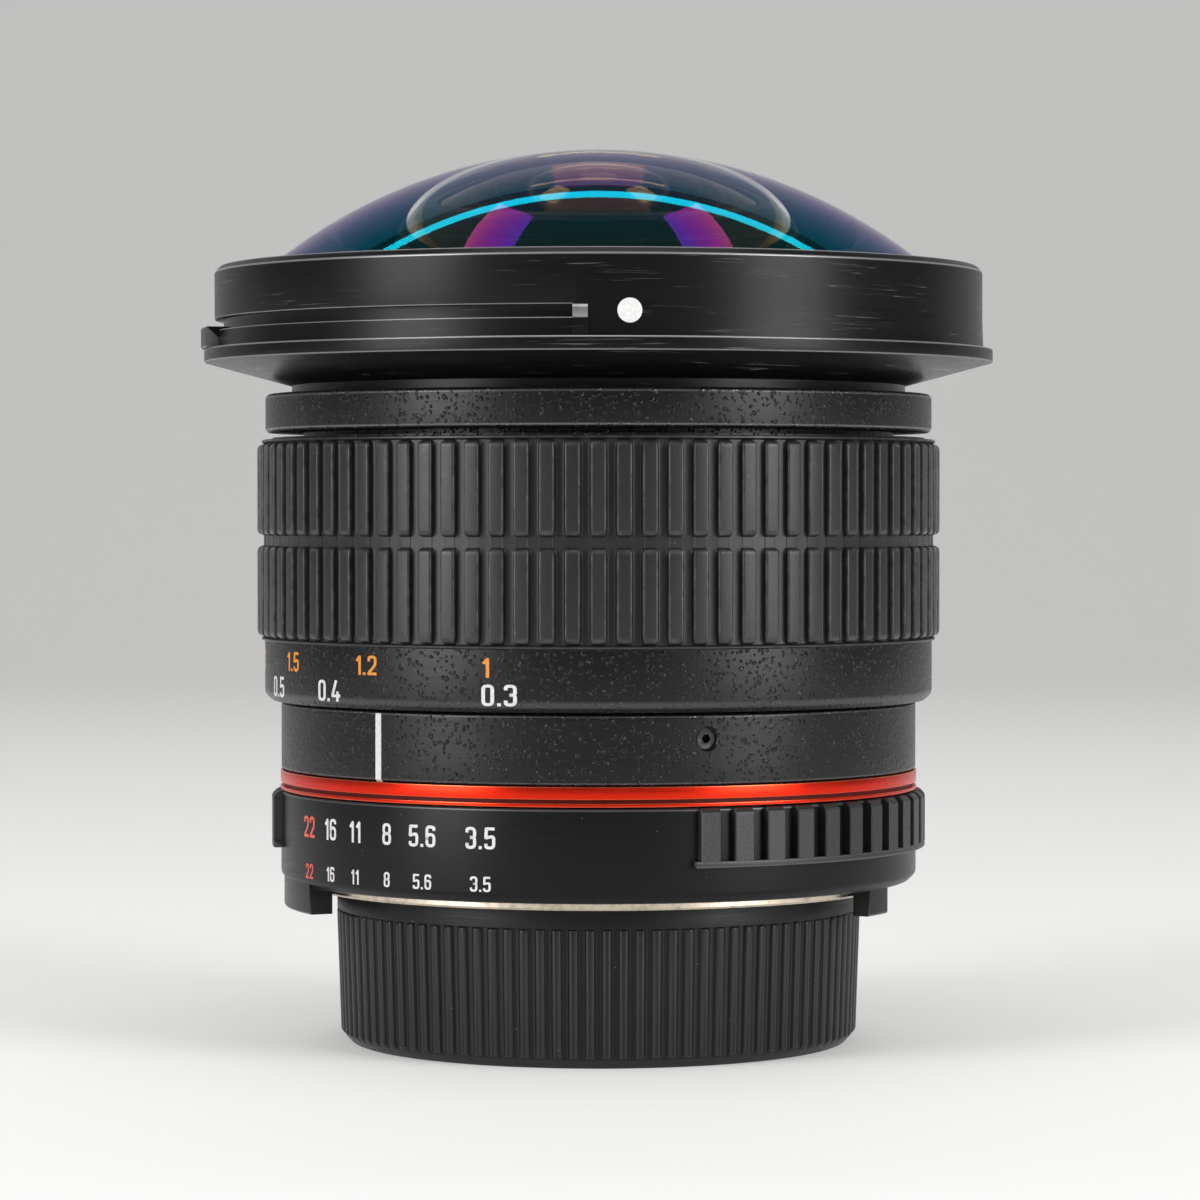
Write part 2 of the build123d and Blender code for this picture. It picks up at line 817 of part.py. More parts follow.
with BuildPart() as hood_ring:
    revolve(
        turned(
            (floor_inner, hood_bottom),
            (neck_radius, hood_bottom),
            (neck_radius, cone_bottom),
            (hood_flange_radius, hood_flange_bottom),
            (hood_flange_radius, hood_seat_bottom),
            (hood_radius + seat_draft, hood_seat_bottom),
            (hood_radius, groove_top),
            (hood_radius, hood_seat_top),
            (hood_radius - rim_land, rim_top),
            (hood_bore, rim_top),
            (hood_bore, cell_seat),
            (cavity_radius, cell_seat),
            (cavity_radius, hood_bottom + floor_thickness),
            (floor_inner, hood_bottom + floor_thickness),
        ),
        axis=Axis.Z,
    )
    revolve(
        ring(
            hood_radius - groove_depth,
            hood_radius + cut_over,
            groove_bottom,
            groove_top,
            start=groove_start,
        ),
        axis=Axis.Z,
        revolution_arc=groove_arc,
        mode=Mode.SUBTRACT,
    )
    revolve(
        turned(
            (hood_bore + bore_wall / 2, hood_seat_bottom),
            (hood_radius + stop_rise, hood_seat_bottom),
            (hood_radius + stop_rise, groove_top - stop_rise),
            (hood_radius, groove_top),
            (hood_bore + bore_wall / 2, groove_top),
            start=groove_start + groove_arc - stop_arc,
        ),
        axis=Axis.Z,
        revolution_arc=stop_arc,
    )
    revolve(
        ring(
            hood_bore + bore_wall / 2,
            hood_radius + pad_rise,
            hood_seat_bottom,
            hood_seat_bottom + pad_height,
            start=pad_start,
        ),
        axis=Axis.Z,
        revolution_arc=pad_arc,
    )
    revolve(
        ring(
            hood_radius + seat_draft,
            hood_radius + pad_rise + cut_over,
            hood_seat_bottom,
            hood_seat_bottom + pad_height + cut_over,
            start=pad_gap_start,
        ),
        axis=Axis.Z,
        revolution_arc=pad_gap_arc,
        mode=Mode.SUBTRACT,
    )
    with Locations(Plane.XY.offset(hood_bottom + floor_thickness)):
        with PolarLocations(hood_screw_circle, hood_screw_count, start_angle=hood_screw_start):
            countersunk(
                hood_head_radius + slip,
                hood_head_height + slip,
                hood_shank_radius + slip,
                floor_thickness + slip,
                Mode.SUBTRACT,
            )
pieces["hood_ring"] = hood_ring

with BuildPart() as hood_screws:
    with Locations(Plane.XY.offset(hood_bottom + floor_thickness - slip)):
        with PolarLocations(hood_screw_circle, hood_screw_count, start_angle=hood_screw_start):
            countersunk(hood_head_radius, hood_head_height, hood_shank_radius, hood_screw_length)
            cross_recess(hood_head_radius, hood_head_height / 2)
pieces["hood_screws"] = hood_screws

# Front cell: flange in the hood ring, and a funnel down to the iris
cell_flange_thickness = 1.5
cell_flange_top = cell_seat + cell_flange_thickness
cell_flange_radius = hood_bore - 2 * slip
cell_radius = 17.0
cell_length = 19.8
cell_bottom = cell_flange_top - cell_length
pair_edge = 9.5
pair_ledge = 8.6
pair_seat_rise = 4.9
pair_seat = cell_bottom + pair_seat_rise
pair_bore_height = 7.4
second_edge = 17.0
second_open = 11.0
second_seat_rise = 0.4
second_seat = cell_flange_top + second_seat_rise
collar_wall = 2.25
collar_height = 1.8
throat_clear = 0.3
funnel_rise = 3.4
iris_screw_angles = (30, 150, 270)
iris_screw_inset = 2.0
iris_screw_circle = cell_radius - iris_screw_inset
iris_head_radius = 0.9
iris_head_height = 0.6
iris_shank_radius = 0.45
iris_screw_length = 3.4

with BuildPart() as front_cell:
    revolve(
        turned(
            (pair_ledge, cell_bottom),
            (cell_radius, cell_bottom),
            (cell_radius, cell_seat - funnel_rise),
            (cell_radius + funnel_rise, cell_seat),
            (cell_flange_radius, cell_seat),
            (cell_flange_radius, cell_flange_top),
            (second_edge + slip + collar_wall, cell_flange_top),
            (second_edge + slip + collar_wall, second_seat + collar_height),
            (second_edge + slip, second_seat + collar_height),
            (second_edge + slip, second_seat),
            (second_open + throat_clear, second_seat),
            (second_open + throat_clear, pair_seat + pair_bore_height + 2 * throat_clear),
            (pair_edge + slip, pair_seat + pair_bore_height),
            (pair_edge + slip, pair_seat),
            (pair_ledge, pair_seat),
        ),
        axis=Axis.Z,
    )
    with Locations(Plane.XY.offset(cell_bottom)):
        with PolarLocations(iris_screw_circle, len(iris_screw_angles), start_angle=iris_screw_angles[0]):
            Cylinder(
                iris_shank_radius + slip,
                iris_screw_length,
                align=(Align.CENTER, Align.CENTER, Align.MIN),
                mode=Mode.SUBTRACT,
            )
pieces["front_cell"] = front_cell

# Front element: the bulging outer glass, hollow behind
front_edge_radius = 33.4
front_curve = 51.2
front_hollow_curve = 22.5
front_open = 21.0
front_glass_thickness = 3.08
front_flat = cell_flange_top + seat_gap
front_hollow = front_flat + sag(front_hollow_curve, front_open)
front_pole = front_hollow + front_glass_thickness

with BuildPart() as front_element:
    revolve(
        lens(front_edge_radius, front_pole, front_curve, front_hollow, front_hollow_curve, front_open),
        axis=Axis.Z,
    )
pieces["front_element"] = front_element

# Front bezel: holds the front element down inside the hood ring
bezel_lip = 0.8
bezel_lip_height = 0.35
bezel_slope = 0.6
bezel_notch_width = 1.6
bezel_notch_depth = 0.5
bezel_notch_count = 2
bezel_inner = front_edge_radius + 2 * seat_gap
bezel_outer = hood_bore - 2 * slip
lip_inner = front_edge_radius - bezel_lip
lip_bottom = front_pole - sag(front_curve, lip_inner) + 2 * seat_gap
lip_root = front_pole - sag(front_curve, front_edge_radius) + 2 * seat_gap
bezel_top = lip_bottom + bezel_lip_height

with BuildPart() as front_bezel:
    revolve(
        turned(
            (bezel_inner, cell_flange_top + seat_gap),
            (bezel_outer, cell_flange_top + seat_gap),
            (bezel_outer, bezel_top - bezel_slope),
            (lip_inner, bezel_top),
            (lip_inner, lip_bottom),
            (bezel_inner, lip_root),
        ),
        axis=Axis.Z,
    )
    with Locations(Plane.XY.offset(bezel_top)):
        with PolarLocations((bezel_inner + bezel_outer) / 2, bezel_notch_count):
            Box(
                bezel_notch_width,
                bezel_notch_width,
                bezel_slope + bezel_notch_depth,
                align=(Align.CENTER, Align.CENTER, Align.MAX),
                mode=Mode.SUBTRACT,
            )
pieces["front_bezel"] = front_bezel

# Second element and its retaining cap
second_front_curve = 30.0
second_rear_curve = 12.0
second_thickness = 1.8
second_rear = second_seat + seat_gap + sag(second_rear_curve, second_open)
second_front = second_rear + second_thickness
cap_lip = 0.8
cap_wall = 1.0
cap_top_height = 0.4
second_cap_inner = second_edge + slip
second_cap_outer = second_cap_inner + cap_wall
second_lip_inner = second_edge - cap_lip
second_lip_bottom = second_front - sag(second_front_curve, second_lip_inner) + seat_gap

with BuildPart() as second_element:
    revolve(
        lens(second_edge, second_front, second_front_curve, second_rear, second_rear_curve, second_open),
        axis=Axis.Z,
    )
pieces["second_element"] = second_element

with BuildPart() as second_retainer:
    revolve(
        turned(
            (second_cap_inner, second_seat + collar_height),
            (second_cap_outer, second_seat + collar_height),
            (second_cap_outer, second_lip_bottom - cap_top_height / 2),
            (second_cap_inner + cap_wall / 2, second_lip_bottom + cap_top_height),
            (second_lip_inner, second_lip_bottom + cap_top_height),
            (second_lip_inner, second_lip_bottom),
            (second_cap_inner, second_lip_bottom),
        ),
        axis=Axis.Z,
    )
pieces["second_retainer"] = second_retainer

# Cemented pair in front of the iris, and its retainer
third_front_curve = -40.0
pair_front_curve = 18.0
fourth_rear_curve = -22.0
third_thickness = 1.2
fourth_thickness = 5.5
fourth_rear = pair_seat + seat_gap + sag(fourth_rear_curve, pair_ledge)
fourth_front = fourth_rear + fourth_thickness
third_front = fourth_front + third_thickness
pair_retainer_wall = 1.1
pair_retainer_height = 1.0
pair_retainer_bottom = third_front - sag(third_front_curve, pair_edge) + seat_gap

with BuildPart() as third_element:
    revolve(
        lens(pair_edge, third_front, third_front_curve, fourth_front, pair_front_curve, pair_edge),
        axis=Axis.Z,
    )
pieces["third_element"] = third_element

with BuildPart() as fourth_element:
    revolve(
        lens(pair_edge, fourth_front, pair_front_curve, fourth_rear, fourth_rear_curve, pair_edge),
        axis=Axis.Z,
    )
pieces["fourth_element"] = fourth_element

with BuildPart() as pair_retainer:
    revolve(
        ring(
            pair_edge - pair_retainer_wall,
            pair_edge,
            pair_retainer_bottom,
            pair_retainer_bottom + pair_retainer_height,
        ),
        axis=Axis.Z,
    )
pieces["pair_retainer"] = pair_retainer

# Iris: base, six blades, drive ring and retainer
iris_open = 4.6
iris_plate = 1.0
iris_base_bottom = cell_bottom - iris_plate
blade_count = 6
blade_thickness = 0.12
blade_pitch = 0.15
blade_clear = 0.1
blade_inner = 4.7
blade_outer = 9.0
blade_arc = 120
pivot_circle = 10.4
pivot_radius = 0.3
pin_offset = 2.5
ear_radius = 0.85
hole_play = 0.04
cam_play = 0.08
drive_outer = 12.0
drive_thickness = 1.2
stack_height = (blade_count - 1) * blade_pitch + blade_thickness
drive_top = iris_base_bottom - blade_clear - stack_height - 2 * blade_clear
drive_bottom = drive_top - drive_thickness
rim_inner = drive_outer + running
rim_wall = 0.9
rim_drop = 1.0
rim_bottom = drive_bottom - rim_drop
retainer_width = 1.4
retainer_height = 0.75
open_swing = -aperture_low * blade_ratio

with BuildPart() as iris_base:
    revolve(
        turned(
            (iris_open, iris_base_bottom),
            (rim_inner, iris_base_bottom),
            (rim_inner, rim_bottom),
            (rim_inner + rim_wall, rim_bottom),
            (rim_inner + rim_wall, iris_base_bottom),
            (cell_radius, iris_base_bottom),
            (cell_radius, cell_bottom),
            (iris_open, cell_bottom),
        ),
        axis=Axis.Z,
    )
    with BuildSketch(Plane.XY.offset(iris_base_bottom)):
        with PolarLocations(pivot_circle, blade_count):
            Circle(pivot_radius + hole_play)
        with PolarLocations(iris_screw_circle, len(iris_screw_angles), start_angle=iris_screw_angles[0]):
            Circle(iris_shank_radius + slip)
    extrude(amount=iris_plate, mode=Mode.SUBTRACT)
pieces["iris_base"] = iris_base

with BuildPart() as iris_screws:
    with Locations(Plane.XY.offset(iris_base_bottom)):
        with PolarLocations(iris_screw_circle, len(iris_screw_angles), start_angle=iris_screw_angles[0]):
            Cylinder(
                iris_head_radius, iris_head_height, align=(Align.CENTER, Align.CENTER, Align.MAX)
            )
            Cylinder(
                iris_shank_radius, iris_screw_length, align=(Align.CENTER, Align.CENTER, Align.MIN)
            )
pieces["iris_screws"] = iris_screws

with BuildPart() as iris_retainer:
    revolve(
        ring(
            rim_inner - retainer_width,
            rim_inner - slip,
            drive_bottom - running - retainer_height,
            drive_bottom - running,
        ),
        axis=Axis.Z,
    )
pieces["iris_retainer"] = iris_retainer


def pin_place(turn):
    """Where a blade's drive pin stands on the drive ring when the ring has turned by this much."""
    swing = radians((turn - aperture_low) * blade_ratio)
    x = pivot_circle - pin_offset * sin(swing)
    y = pin_offset * cos(swing)
    return hypot(x, y), degrees(atan2(y, x)) - turn


with BuildPart() as iris_drive_ring:
    revolve(ring(iris_open + hole_play, drive_outer, drive_bottom, drive_top), axis=Axis.Z)
    for blade in range(blade_count):
        cam_points = []
        for turn in (aperture_low, (aperture_low + aperture_high) / 2, aperture_high):
            radius, angle = pin_place(turn)
            cam_points.append(polar(radius, angle + blade * 360 / blade_count))
        cam_track = arc_through(*cam_points)
        with BuildSketch(Plane.XY.offset(drive_bottom)):
            SlotArc(cam_track, 2 * (pivot_radius + cam_play))
        extrude(amount=drive_thickness, mode=Mode.SUBTRACT)
pieces["iris_drive_ring"] = iris_drive_ring

for blade in range(blade_count):
    blade_angle = blade * 360 / blade_count
    blade_bottom = iris_base_bottom - blade_clear - blade * blade_pitch - blade_thickness
    blade_frame = Plane(
        origin=(*polar(pivot_circle, blade_angle), blade_bottom),
        x_dir=outward(blade_angle + open_swing),
        z_dir=(0, 0, 1),
    )
    with BuildPart() as iris_blade:
        with BuildSketch(blade_frame):
            with BuildLine():
                inner_edge = CenterArc((-pivot_circle, 0), blade_inner, 0, blade_arc)
                outer_edge = CenterArc((-pivot_circle, 0), blade_outer, 0, blade_arc)
                Line(inner_edge @ 0, outer_edge @ 0)
                Line(inner_edge @ 1, outer_edge @ 1)
            make_face()
            with BuildLine():
                Polyline(
                    (blade_outer - pivot_circle - ear_radius, 0),
                    (0, -ear_radius),
                    (ear_radius, 0),
                    (ear_radius, pin_offset),
                    (0, pin_offset + ear_radius),
                    (blade_outer - pivot_circle - ear_radius, pin_offset + ear_radius),
                    close=True,
                )
            make_face()
            with Locations((0, 0), (0, pin_offset)):
                Circle(ear_radius)
        extrude(amount=blade_thickness)
        with BuildSketch(blade_frame):
            Circle(pivot_radius)
        extrude(amount=cell_bottom - blade_clear - blade_bottom)
        with BuildSketch(blade_frame):
            with Locations((0, pin_offset)):
                Circle(pivot_radius)
        extrude(amount=-(blade_bottom - drive_bottom - 2 * blade_clear))
    pieces[f"iris_blade_{blade + 1}"] = iris_blade

# Drive arm: foot under the drive ring, bar outwards and strip down past the focus cell
arm_thickness = 1.2
arm_width = 3.0
foot_inner = 8.0
foot_gap = 0.3
foot_outer = rim_inner - retainer_width - foot_gap
arm_top = rim_bottom - passing
arm_bottom = arm_top - arm_thickness

with BuildPart() as iris_drive_arm:
    with BuildSketch(radial_plane(drive_angle, (arm_top + drive_bottom) / 2, foot_inner)):
        Rectangle(arm_width, drive_bottom - arm_top)
    extrude(amount=foot_outer - foot_inner)
    with BuildSketch(radial_plane(drive_angle, (arm_top + arm_bottom) / 2, foot_inner)):
        Rectangle(arm_width, arm_thickness)
    extrude(amount=strip_outer - foot_inner)
    with BuildSketch(radial_plane(drive_angle, (arm_top + strip_bottom) / 2, strip_inner)):
        Rectangle(strip_width, arm_top - strip_bottom)
    extrude(amount=strip_wall)
pieces["iris_drive_arm"] = iris_drive_arm

with BuildPart() as stop_down_lever:
    with BuildSketch(radial_plane(drive_angle, strip_bottom + lever_foot / 2, lever_inner)):
        Rectangle(lever_width, lever_foot)
    extrude(amount=strip_inner - lever_inner)
    with BuildSketch(radial_plane(drive_angle, (lever_bottom + strip_bottom) / 2, lever_inner)):
        Rectangle(lever_width, strip_bottom - lever_bottom)
    extrude(amount=lever_wall)
pieces["stop_down_lever"] = stop_down_lever

# Rear group, from the top down: each lens rests on the ring below it
cell_lip = 0.8
group_lip = 6.2
arm_gap = 0.6
group_top = arm_bottom - arm_gap
fifth_edge = 7.0
fifth_front_curve = -30.0
fifth_rear_curve = 15.0
sixth_rear_curve = -20.0
fifth_thickness = 1.35
sixth_thickness = 3.8
front_spacer_wall = 0.9
front_spacer_length = 2.5
seventh_edge = 8.0
seventh_front_curve = 40.0
seventh_rear_curve = -28.0
seventh_thickness = 3.3
middle_spacer_wall = 1.0
middle_spacer_length = 3.1
eighth_edge = 9.5
eighth_front_curve = 60.0
eighth_rear_curve = -20.0
ninth_rear_curve = 70.0
eighth_thickness = 4.8
ninth_thickness = 1.6
rear_spacer_wall = 0.9
rear_spacer_length = 2.7
tenth_edge = 11.0
tenth_front_curve = 45.0
tenth_rear_curve = -90.0
tenth_thickness = 4.1
rear_retainer_wall = 1.0
rear_retainer_height = 1.8
group_wall = 1.95

fifth_front = group_top - cell_lip - seat_gap + sag(fifth_front_curve, fifth_edge)
sixth_front = fifth_front - fifth_thickness
sixth_rear = sixth_front - sixth_thickness
front_spacer_inner = fifth_edge - front_spacer_wall
front_spacer_top = sixth_rear - sag(sixth_rear_curve, front_spacer_inner) - seat_gap
front_spacer_bottom = front_spacer_top - front_spacer_length
seventh_front = front_spacer_bottom - seat_gap + sag(seventh_front_curve, front_spacer_inner)
seventh_rear = seventh_front - seventh_thickness
middle_spacer_inner = seventh_edge - middle_spacer_wall
middle_spacer_top = seventh_rear - sag(seventh_rear_curve, middle_spacer_inner) - seat_gap
middle_spacer_bottom = middle_spacer_top - middle_spacer_length
eighth_front = middle_spacer_bottom - seat_gap + sag(eighth_front_curve, middle_spacer_inner)
ninth_front = eighth_front - eighth_thickness
ninth_rear = ninth_front - ninth_thickness
rear_spacer_inner = eighth_edge - rear_spacer_wall
rear_spacer_top = ninth_rear - sag(ninth_rear_curve, eighth_edge) - seat_gap
rear_spacer_bottom = rear_spacer_top - rear_spacer_length
tenth_front = rear_spacer_bottom - seat_gap + sag(tenth_front_curve, rear_spacer_inner)
tenth_rear = tenth_front - tenth_thickness
rear_retainer_inner = tenth_edge - rear_retainer_wall
rear_retainer_top = tenth_rear - sag(tenth_rear_curve, rear_retainer_inner) - seat_gap
rear_retainer_bottom = rear_retainer_top - rear_retainer_height
group_bottom = rear_retainer_bottom - passing

rear_lenses = {
    "fifth_element": (fifth_edge, fifth_front, fifth_front_curve, sixth_front, fifth_rear_curve),
    "sixth_element": (fifth_edge, sixth_front, fifth_rear_curve, sixth_rear, sixth_rear_curve),
    "seventh_element": (
        seventh_edge, seventh_front, seventh_front_curve, seventh_rear, seventh_rear_curve,
    ),
    "eighth_element": (eighth_edge, eighth_front, eighth_front_curve, ninth_front, eighth_rear_curve),
    "ninth_element": (eighth_edge, ninth_front, eighth_rear_curve, ninth_rear, ninth_rear_curve),
    "tenth_element": (tenth_edge, tenth_front, tenth_front_curve, tenth_rear, tenth_rear_curve),
}
for name, (edge, front, front_bend, rear, rear_bend) in rear_lenses.items():
    with BuildPart() as rear_lens:
        revolve(lens(edge, front, front_bend, rear, rear_bend, edge), axis=Axis.Z)
    pieces[name] = rear_lens

cell_rings = {
    "front_spacer": (front_spacer_inner, fifth_edge, front_spacer_bottom, front_spacer_top),
    "middle_spacer": (middle_spacer_inner, seventh_edge, middle_spacer_bottom, middle_spacer_top),
    "rear_spacer": (rear_spacer_inner, eighth_edge, rear_spacer_bottom, rear_spacer_top),
    "rear_retainer": (rear_retainer_inner, tenth_edge, rear_retainer_bottom, rear_retainer_top),
}
for name, (inner, outer, bottom, top) in cell_rings.items():
    with BuildPart() as cell_ring:
        revolve(ring(inner, outer, bottom, top), axis=Axis.Z)
    pieces[name] = cell_ring

# Focus cell: barrel of the rear group, a web and an outer sleeve that slides in the main tube
group_radius = tenth_edge + slip + group_wall
web_height = 1.8
web_drop = 5.0
web_bottom = follower_height - web_drop
slider_wall = 1.74
slider_outer = tube_bore - running
slider_inner = slider_outer - slider_wall
slider_drop = 7.1
slider_rise = 2.5
slider_bottom = follower_height - slider_drop
slider_top = follower_height + slider_rise
stem_radius = 0.8
stem_length = 1.3
web_slot_start, web_slot_arc = travel_slot(strip_width / 2, strip_inner)

with BuildPart() as focus_cell:
    revolve(
        turned(
            (group_radius, group_bottom),
            (group_radius, group_top),
            (group_lip, group_top),
            (group_lip, group_top - cell_lip),
            (fifth_edge + slip, group_top - cell_lip),
            (fifth_edge + slip, seventh_front),
            (seventh_edge + slip, seventh_front),
            (seventh_edge + slip, eighth_front),
            (eighth_edge + slip, eighth_front),
            (eighth_edge + slip, tenth_front),
            (tenth_edge + slip, tenth_front),
            (tenth_edge + slip, group_bottom),
        ),
        axis=Axis.Z,
    )
    revolve(
        ring(group_radius - group_wall / 2, slider_outer, web_bottom, web_bottom + web_height),
        axis=Axis.Z,
    )
    revolve(ring(slider_inner, slider_outer, slider_bottom, slider_top), axis=Axis.Z)
    revolve(
        ring(
            strip_inner - 3 * passing,
            slider_inner,
            web_bottom,
            web_bottom + web_height,
            start=web_slot_start,
        ),
        axis=Axis.Z,
        revolution_arc=web_slot_arc,
        mode=Mode.SUBTRACT,
    )
    for follower in range(follower_count):
        stem_angle = follower * 360 / follower_count
        with BuildSketch(radial_plane(stem_angle, follower_height, slider_outer - stem_length)):
            Circle(stem_radius + slip)
        extrude(amount=stem_length + cut_over, mode=Mode.SUBTRACT)
pieces["focus_cell"] = focus_cell

with BuildPart() as cam_followers:
    for follower in range(follower_count):
        stem_angle = follower * 360 / follower_count
        with BuildSketch(radial_plane(stem_angle, follower_height, slider_outer - stem_length + slip)):
            Circle(stem_radius)
        extrude(amount=stem_length)
        with BuildSketch(radial_plane(stem_angle, follower_height, slider_outer + slip)):
            Circle(follower_radius)
        extrude(amount=cam_outer - passing - slider_outer - slip)
pieces["cam_followers"] = cam_followers

# Rear cap: ribbed cup with three tabs that stand in the gaps between the lugs
cap_floor = 1.5
cap_wall_thickness = 0.95
cap_draft = 0.4
cap_rib_depth = 0.35
cap_rib_count = 102
cap_rib_share = 0.55
cap_foot_height = 1.1
cap_foot_inset = 1.0
cap_band_height = 2.0
cap_rim_gap = 0.05
cap_tab_reach = 1.9
cap_tab_thickness = 1.5
cap_tab_arc = 40
cap_tab_share = 0.5
cap_top = register_height - cap_rim_gap
cap_band_bottom = cap_top - cap_band_height
cap_foot_radius = cap_radius - cap_draft
cap_inner = cap_foot_radius - cap_rib_depth - cap_wall_thickness
cap_tab_top = cap_top - 2 * cap_rim_gap
cap_tab_bottom = cap_tab_top - cap_tab_thickness

with BuildPart() as rear_cap:
    foot_root = cap_foot_radius - cap_rib_depth
    band_root = cap_radius - cap_rib_depth
    loft(
        [
            ribbed(foot_root, cap_foot_radius, cap_rib_count, cap_rib_share, cap_foot_height),
            ribbed(band_root, cap_radius, cap_rib_count, cap_rib_share, cap_band_bottom),
        ],
        ruled=True,
        clean=False,
    )
    revolve(
        turned(
            (0, 0),
            (cap_foot_radius - cap_foot_inset, 0),
            (cap_foot_radius, cap_foot_height),
            (cap_inner, cap_foot_height),
            (cap_inner, cap_band_bottom),
            (cap_radius, cap_band_bottom),
            (cap_radius, cap_top),
            (0, cap_top),
        ),
        axis=Axis.Z,
        clean=False,
    )
    with BuildSketch(Plane.XY.offset(cap_floor)):
        Circle(cap_inner)
    extrude(amount=cap_top, mode=Mode.SUBTRACT, clean=False)
    for tab in range(lug_count):
        tab_start = first_lug + (tab + cap_tab_share) * 360 / lug_count - cap_tab_arc / 2
        revolve(
            ring(
                cap_inner - cap_tab_reach,
                cap_inner + cap_wall_thickness / 2,
                cap_tab_bottom,
                cap_tab_top,
                start=tab_start,
            ),
            axis=Axis.Z,
            revolution_arc=cap_tab_arc,
        )
pieces["rear_cap"] = rear_cap

os.makedirs("parts", exist_ok=True)
for name, piece in pieces.items():
    piece.part.label = name
    export_step(piece.part, f"parts/{name}.step")
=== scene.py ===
"""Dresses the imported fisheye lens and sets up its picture.

Sizes are in millimetres unless a name says otherwise. Heights run up the lens axis from
the cap's foot. Angles are polar, in degrees from +X towards +Y, and the side with the
index line faces -Y. Meshes are made in metres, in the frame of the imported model.
"""

import logging
from collections.abc import Callable, Iterable, Sequence
from dataclasses import dataclass
from enum import Enum
from math import copysign, cos, degrees, hypot, pi, radians, sin, sqrt
from typing import ClassVar, NamedTuple

import bmesh
import bpy
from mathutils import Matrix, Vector

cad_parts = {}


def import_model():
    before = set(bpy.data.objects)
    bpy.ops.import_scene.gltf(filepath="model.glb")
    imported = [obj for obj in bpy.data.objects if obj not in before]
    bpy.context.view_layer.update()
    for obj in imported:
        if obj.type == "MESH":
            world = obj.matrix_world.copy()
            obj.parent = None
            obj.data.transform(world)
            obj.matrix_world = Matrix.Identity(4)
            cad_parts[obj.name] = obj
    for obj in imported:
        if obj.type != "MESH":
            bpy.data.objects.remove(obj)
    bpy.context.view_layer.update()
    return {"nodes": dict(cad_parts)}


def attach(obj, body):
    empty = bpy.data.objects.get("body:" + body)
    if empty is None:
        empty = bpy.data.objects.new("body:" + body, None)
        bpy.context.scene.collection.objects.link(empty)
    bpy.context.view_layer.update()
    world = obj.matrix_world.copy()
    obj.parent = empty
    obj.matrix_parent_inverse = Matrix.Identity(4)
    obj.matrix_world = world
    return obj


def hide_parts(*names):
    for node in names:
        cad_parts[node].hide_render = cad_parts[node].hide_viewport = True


LOG = logging.getLogger("fisheye_lens")
METRE = 0.001
MERGE_METRES = 2e-7
SHARP_ANGLE = radians(32)
FULL_TURN = 360.0
FRONT = -90.0
ROUND_COLUMNS = 288
ARC_STEP = 1.2
LEAST_COLUMNS = 6
ROUNDING_SHARE = 0.45

Colour = tuple[float, float, float]
Socket = bpy.types.NodeSocket
Tree = bpy.types.NodeTree
Piece = bpy.types.Object
Mesh = bpy.types.Mesh
Shape = bmesh.types.BMesh
Vertex = bmesh.types.BMVert
Row = Sequence[Vertex]
Point = tuple[float, float, float]
WornPoint = tuple[Vector, float]


class Body(Enum):
    """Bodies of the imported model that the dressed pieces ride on."""

    BARREL = "barrel"
    FOCUS = "focus_unit"
    CARRIAGE = "focus_carriage"
    APERTURE = "aperture_unit"
    CAP = "cap"


class Slot(Enum):
    """Material slots of the record."""

    MOUNT = "mount_metal"
    SCREW = "screw_steel"
    SPRING = "spring_steel"
    BLADE = "blade_steel"
    TUBE = "tube_metal"
    INSIDE = "inner_black"
    CAM = "cam_brass"
    CRACKLE = "crackle_paint"
    RING = "ring_paint"
    HOOD = "hood_paint"
    BEZEL = "bezel_paint"
    ACCENT = "accent_red"
    GRIP = "grip_rubber"
    CAP = "cap_plastic"
    COATED = "coated_glass"
    GLASS = "inner_glass"


# Node graphs


class Signal:
    """Output of a node, which can be calculated with."""

    def __init__(self, graph: "Graph", socket: Socket) -> None:
        """Keeps the graph and the socket."""
        self.graph = graph
        self.socket = socket

    def __add__(self, other: "Value") -> "Signal":
        """Sum of both."""
        return self.graph.math("ADD", self, other)

    def __sub__(self, other: "Value") -> "Signal":
        """Difference of both."""
        return self.graph.math("SUBTRACT", self, other)

    def __mul__(self, other: "Value") -> "Signal":
        """Product of both."""
        return self.graph.math("MULTIPLY", self, other)


Value = Signal | float | tuple[float, ...]
Inputs = dict[str | int, Value]


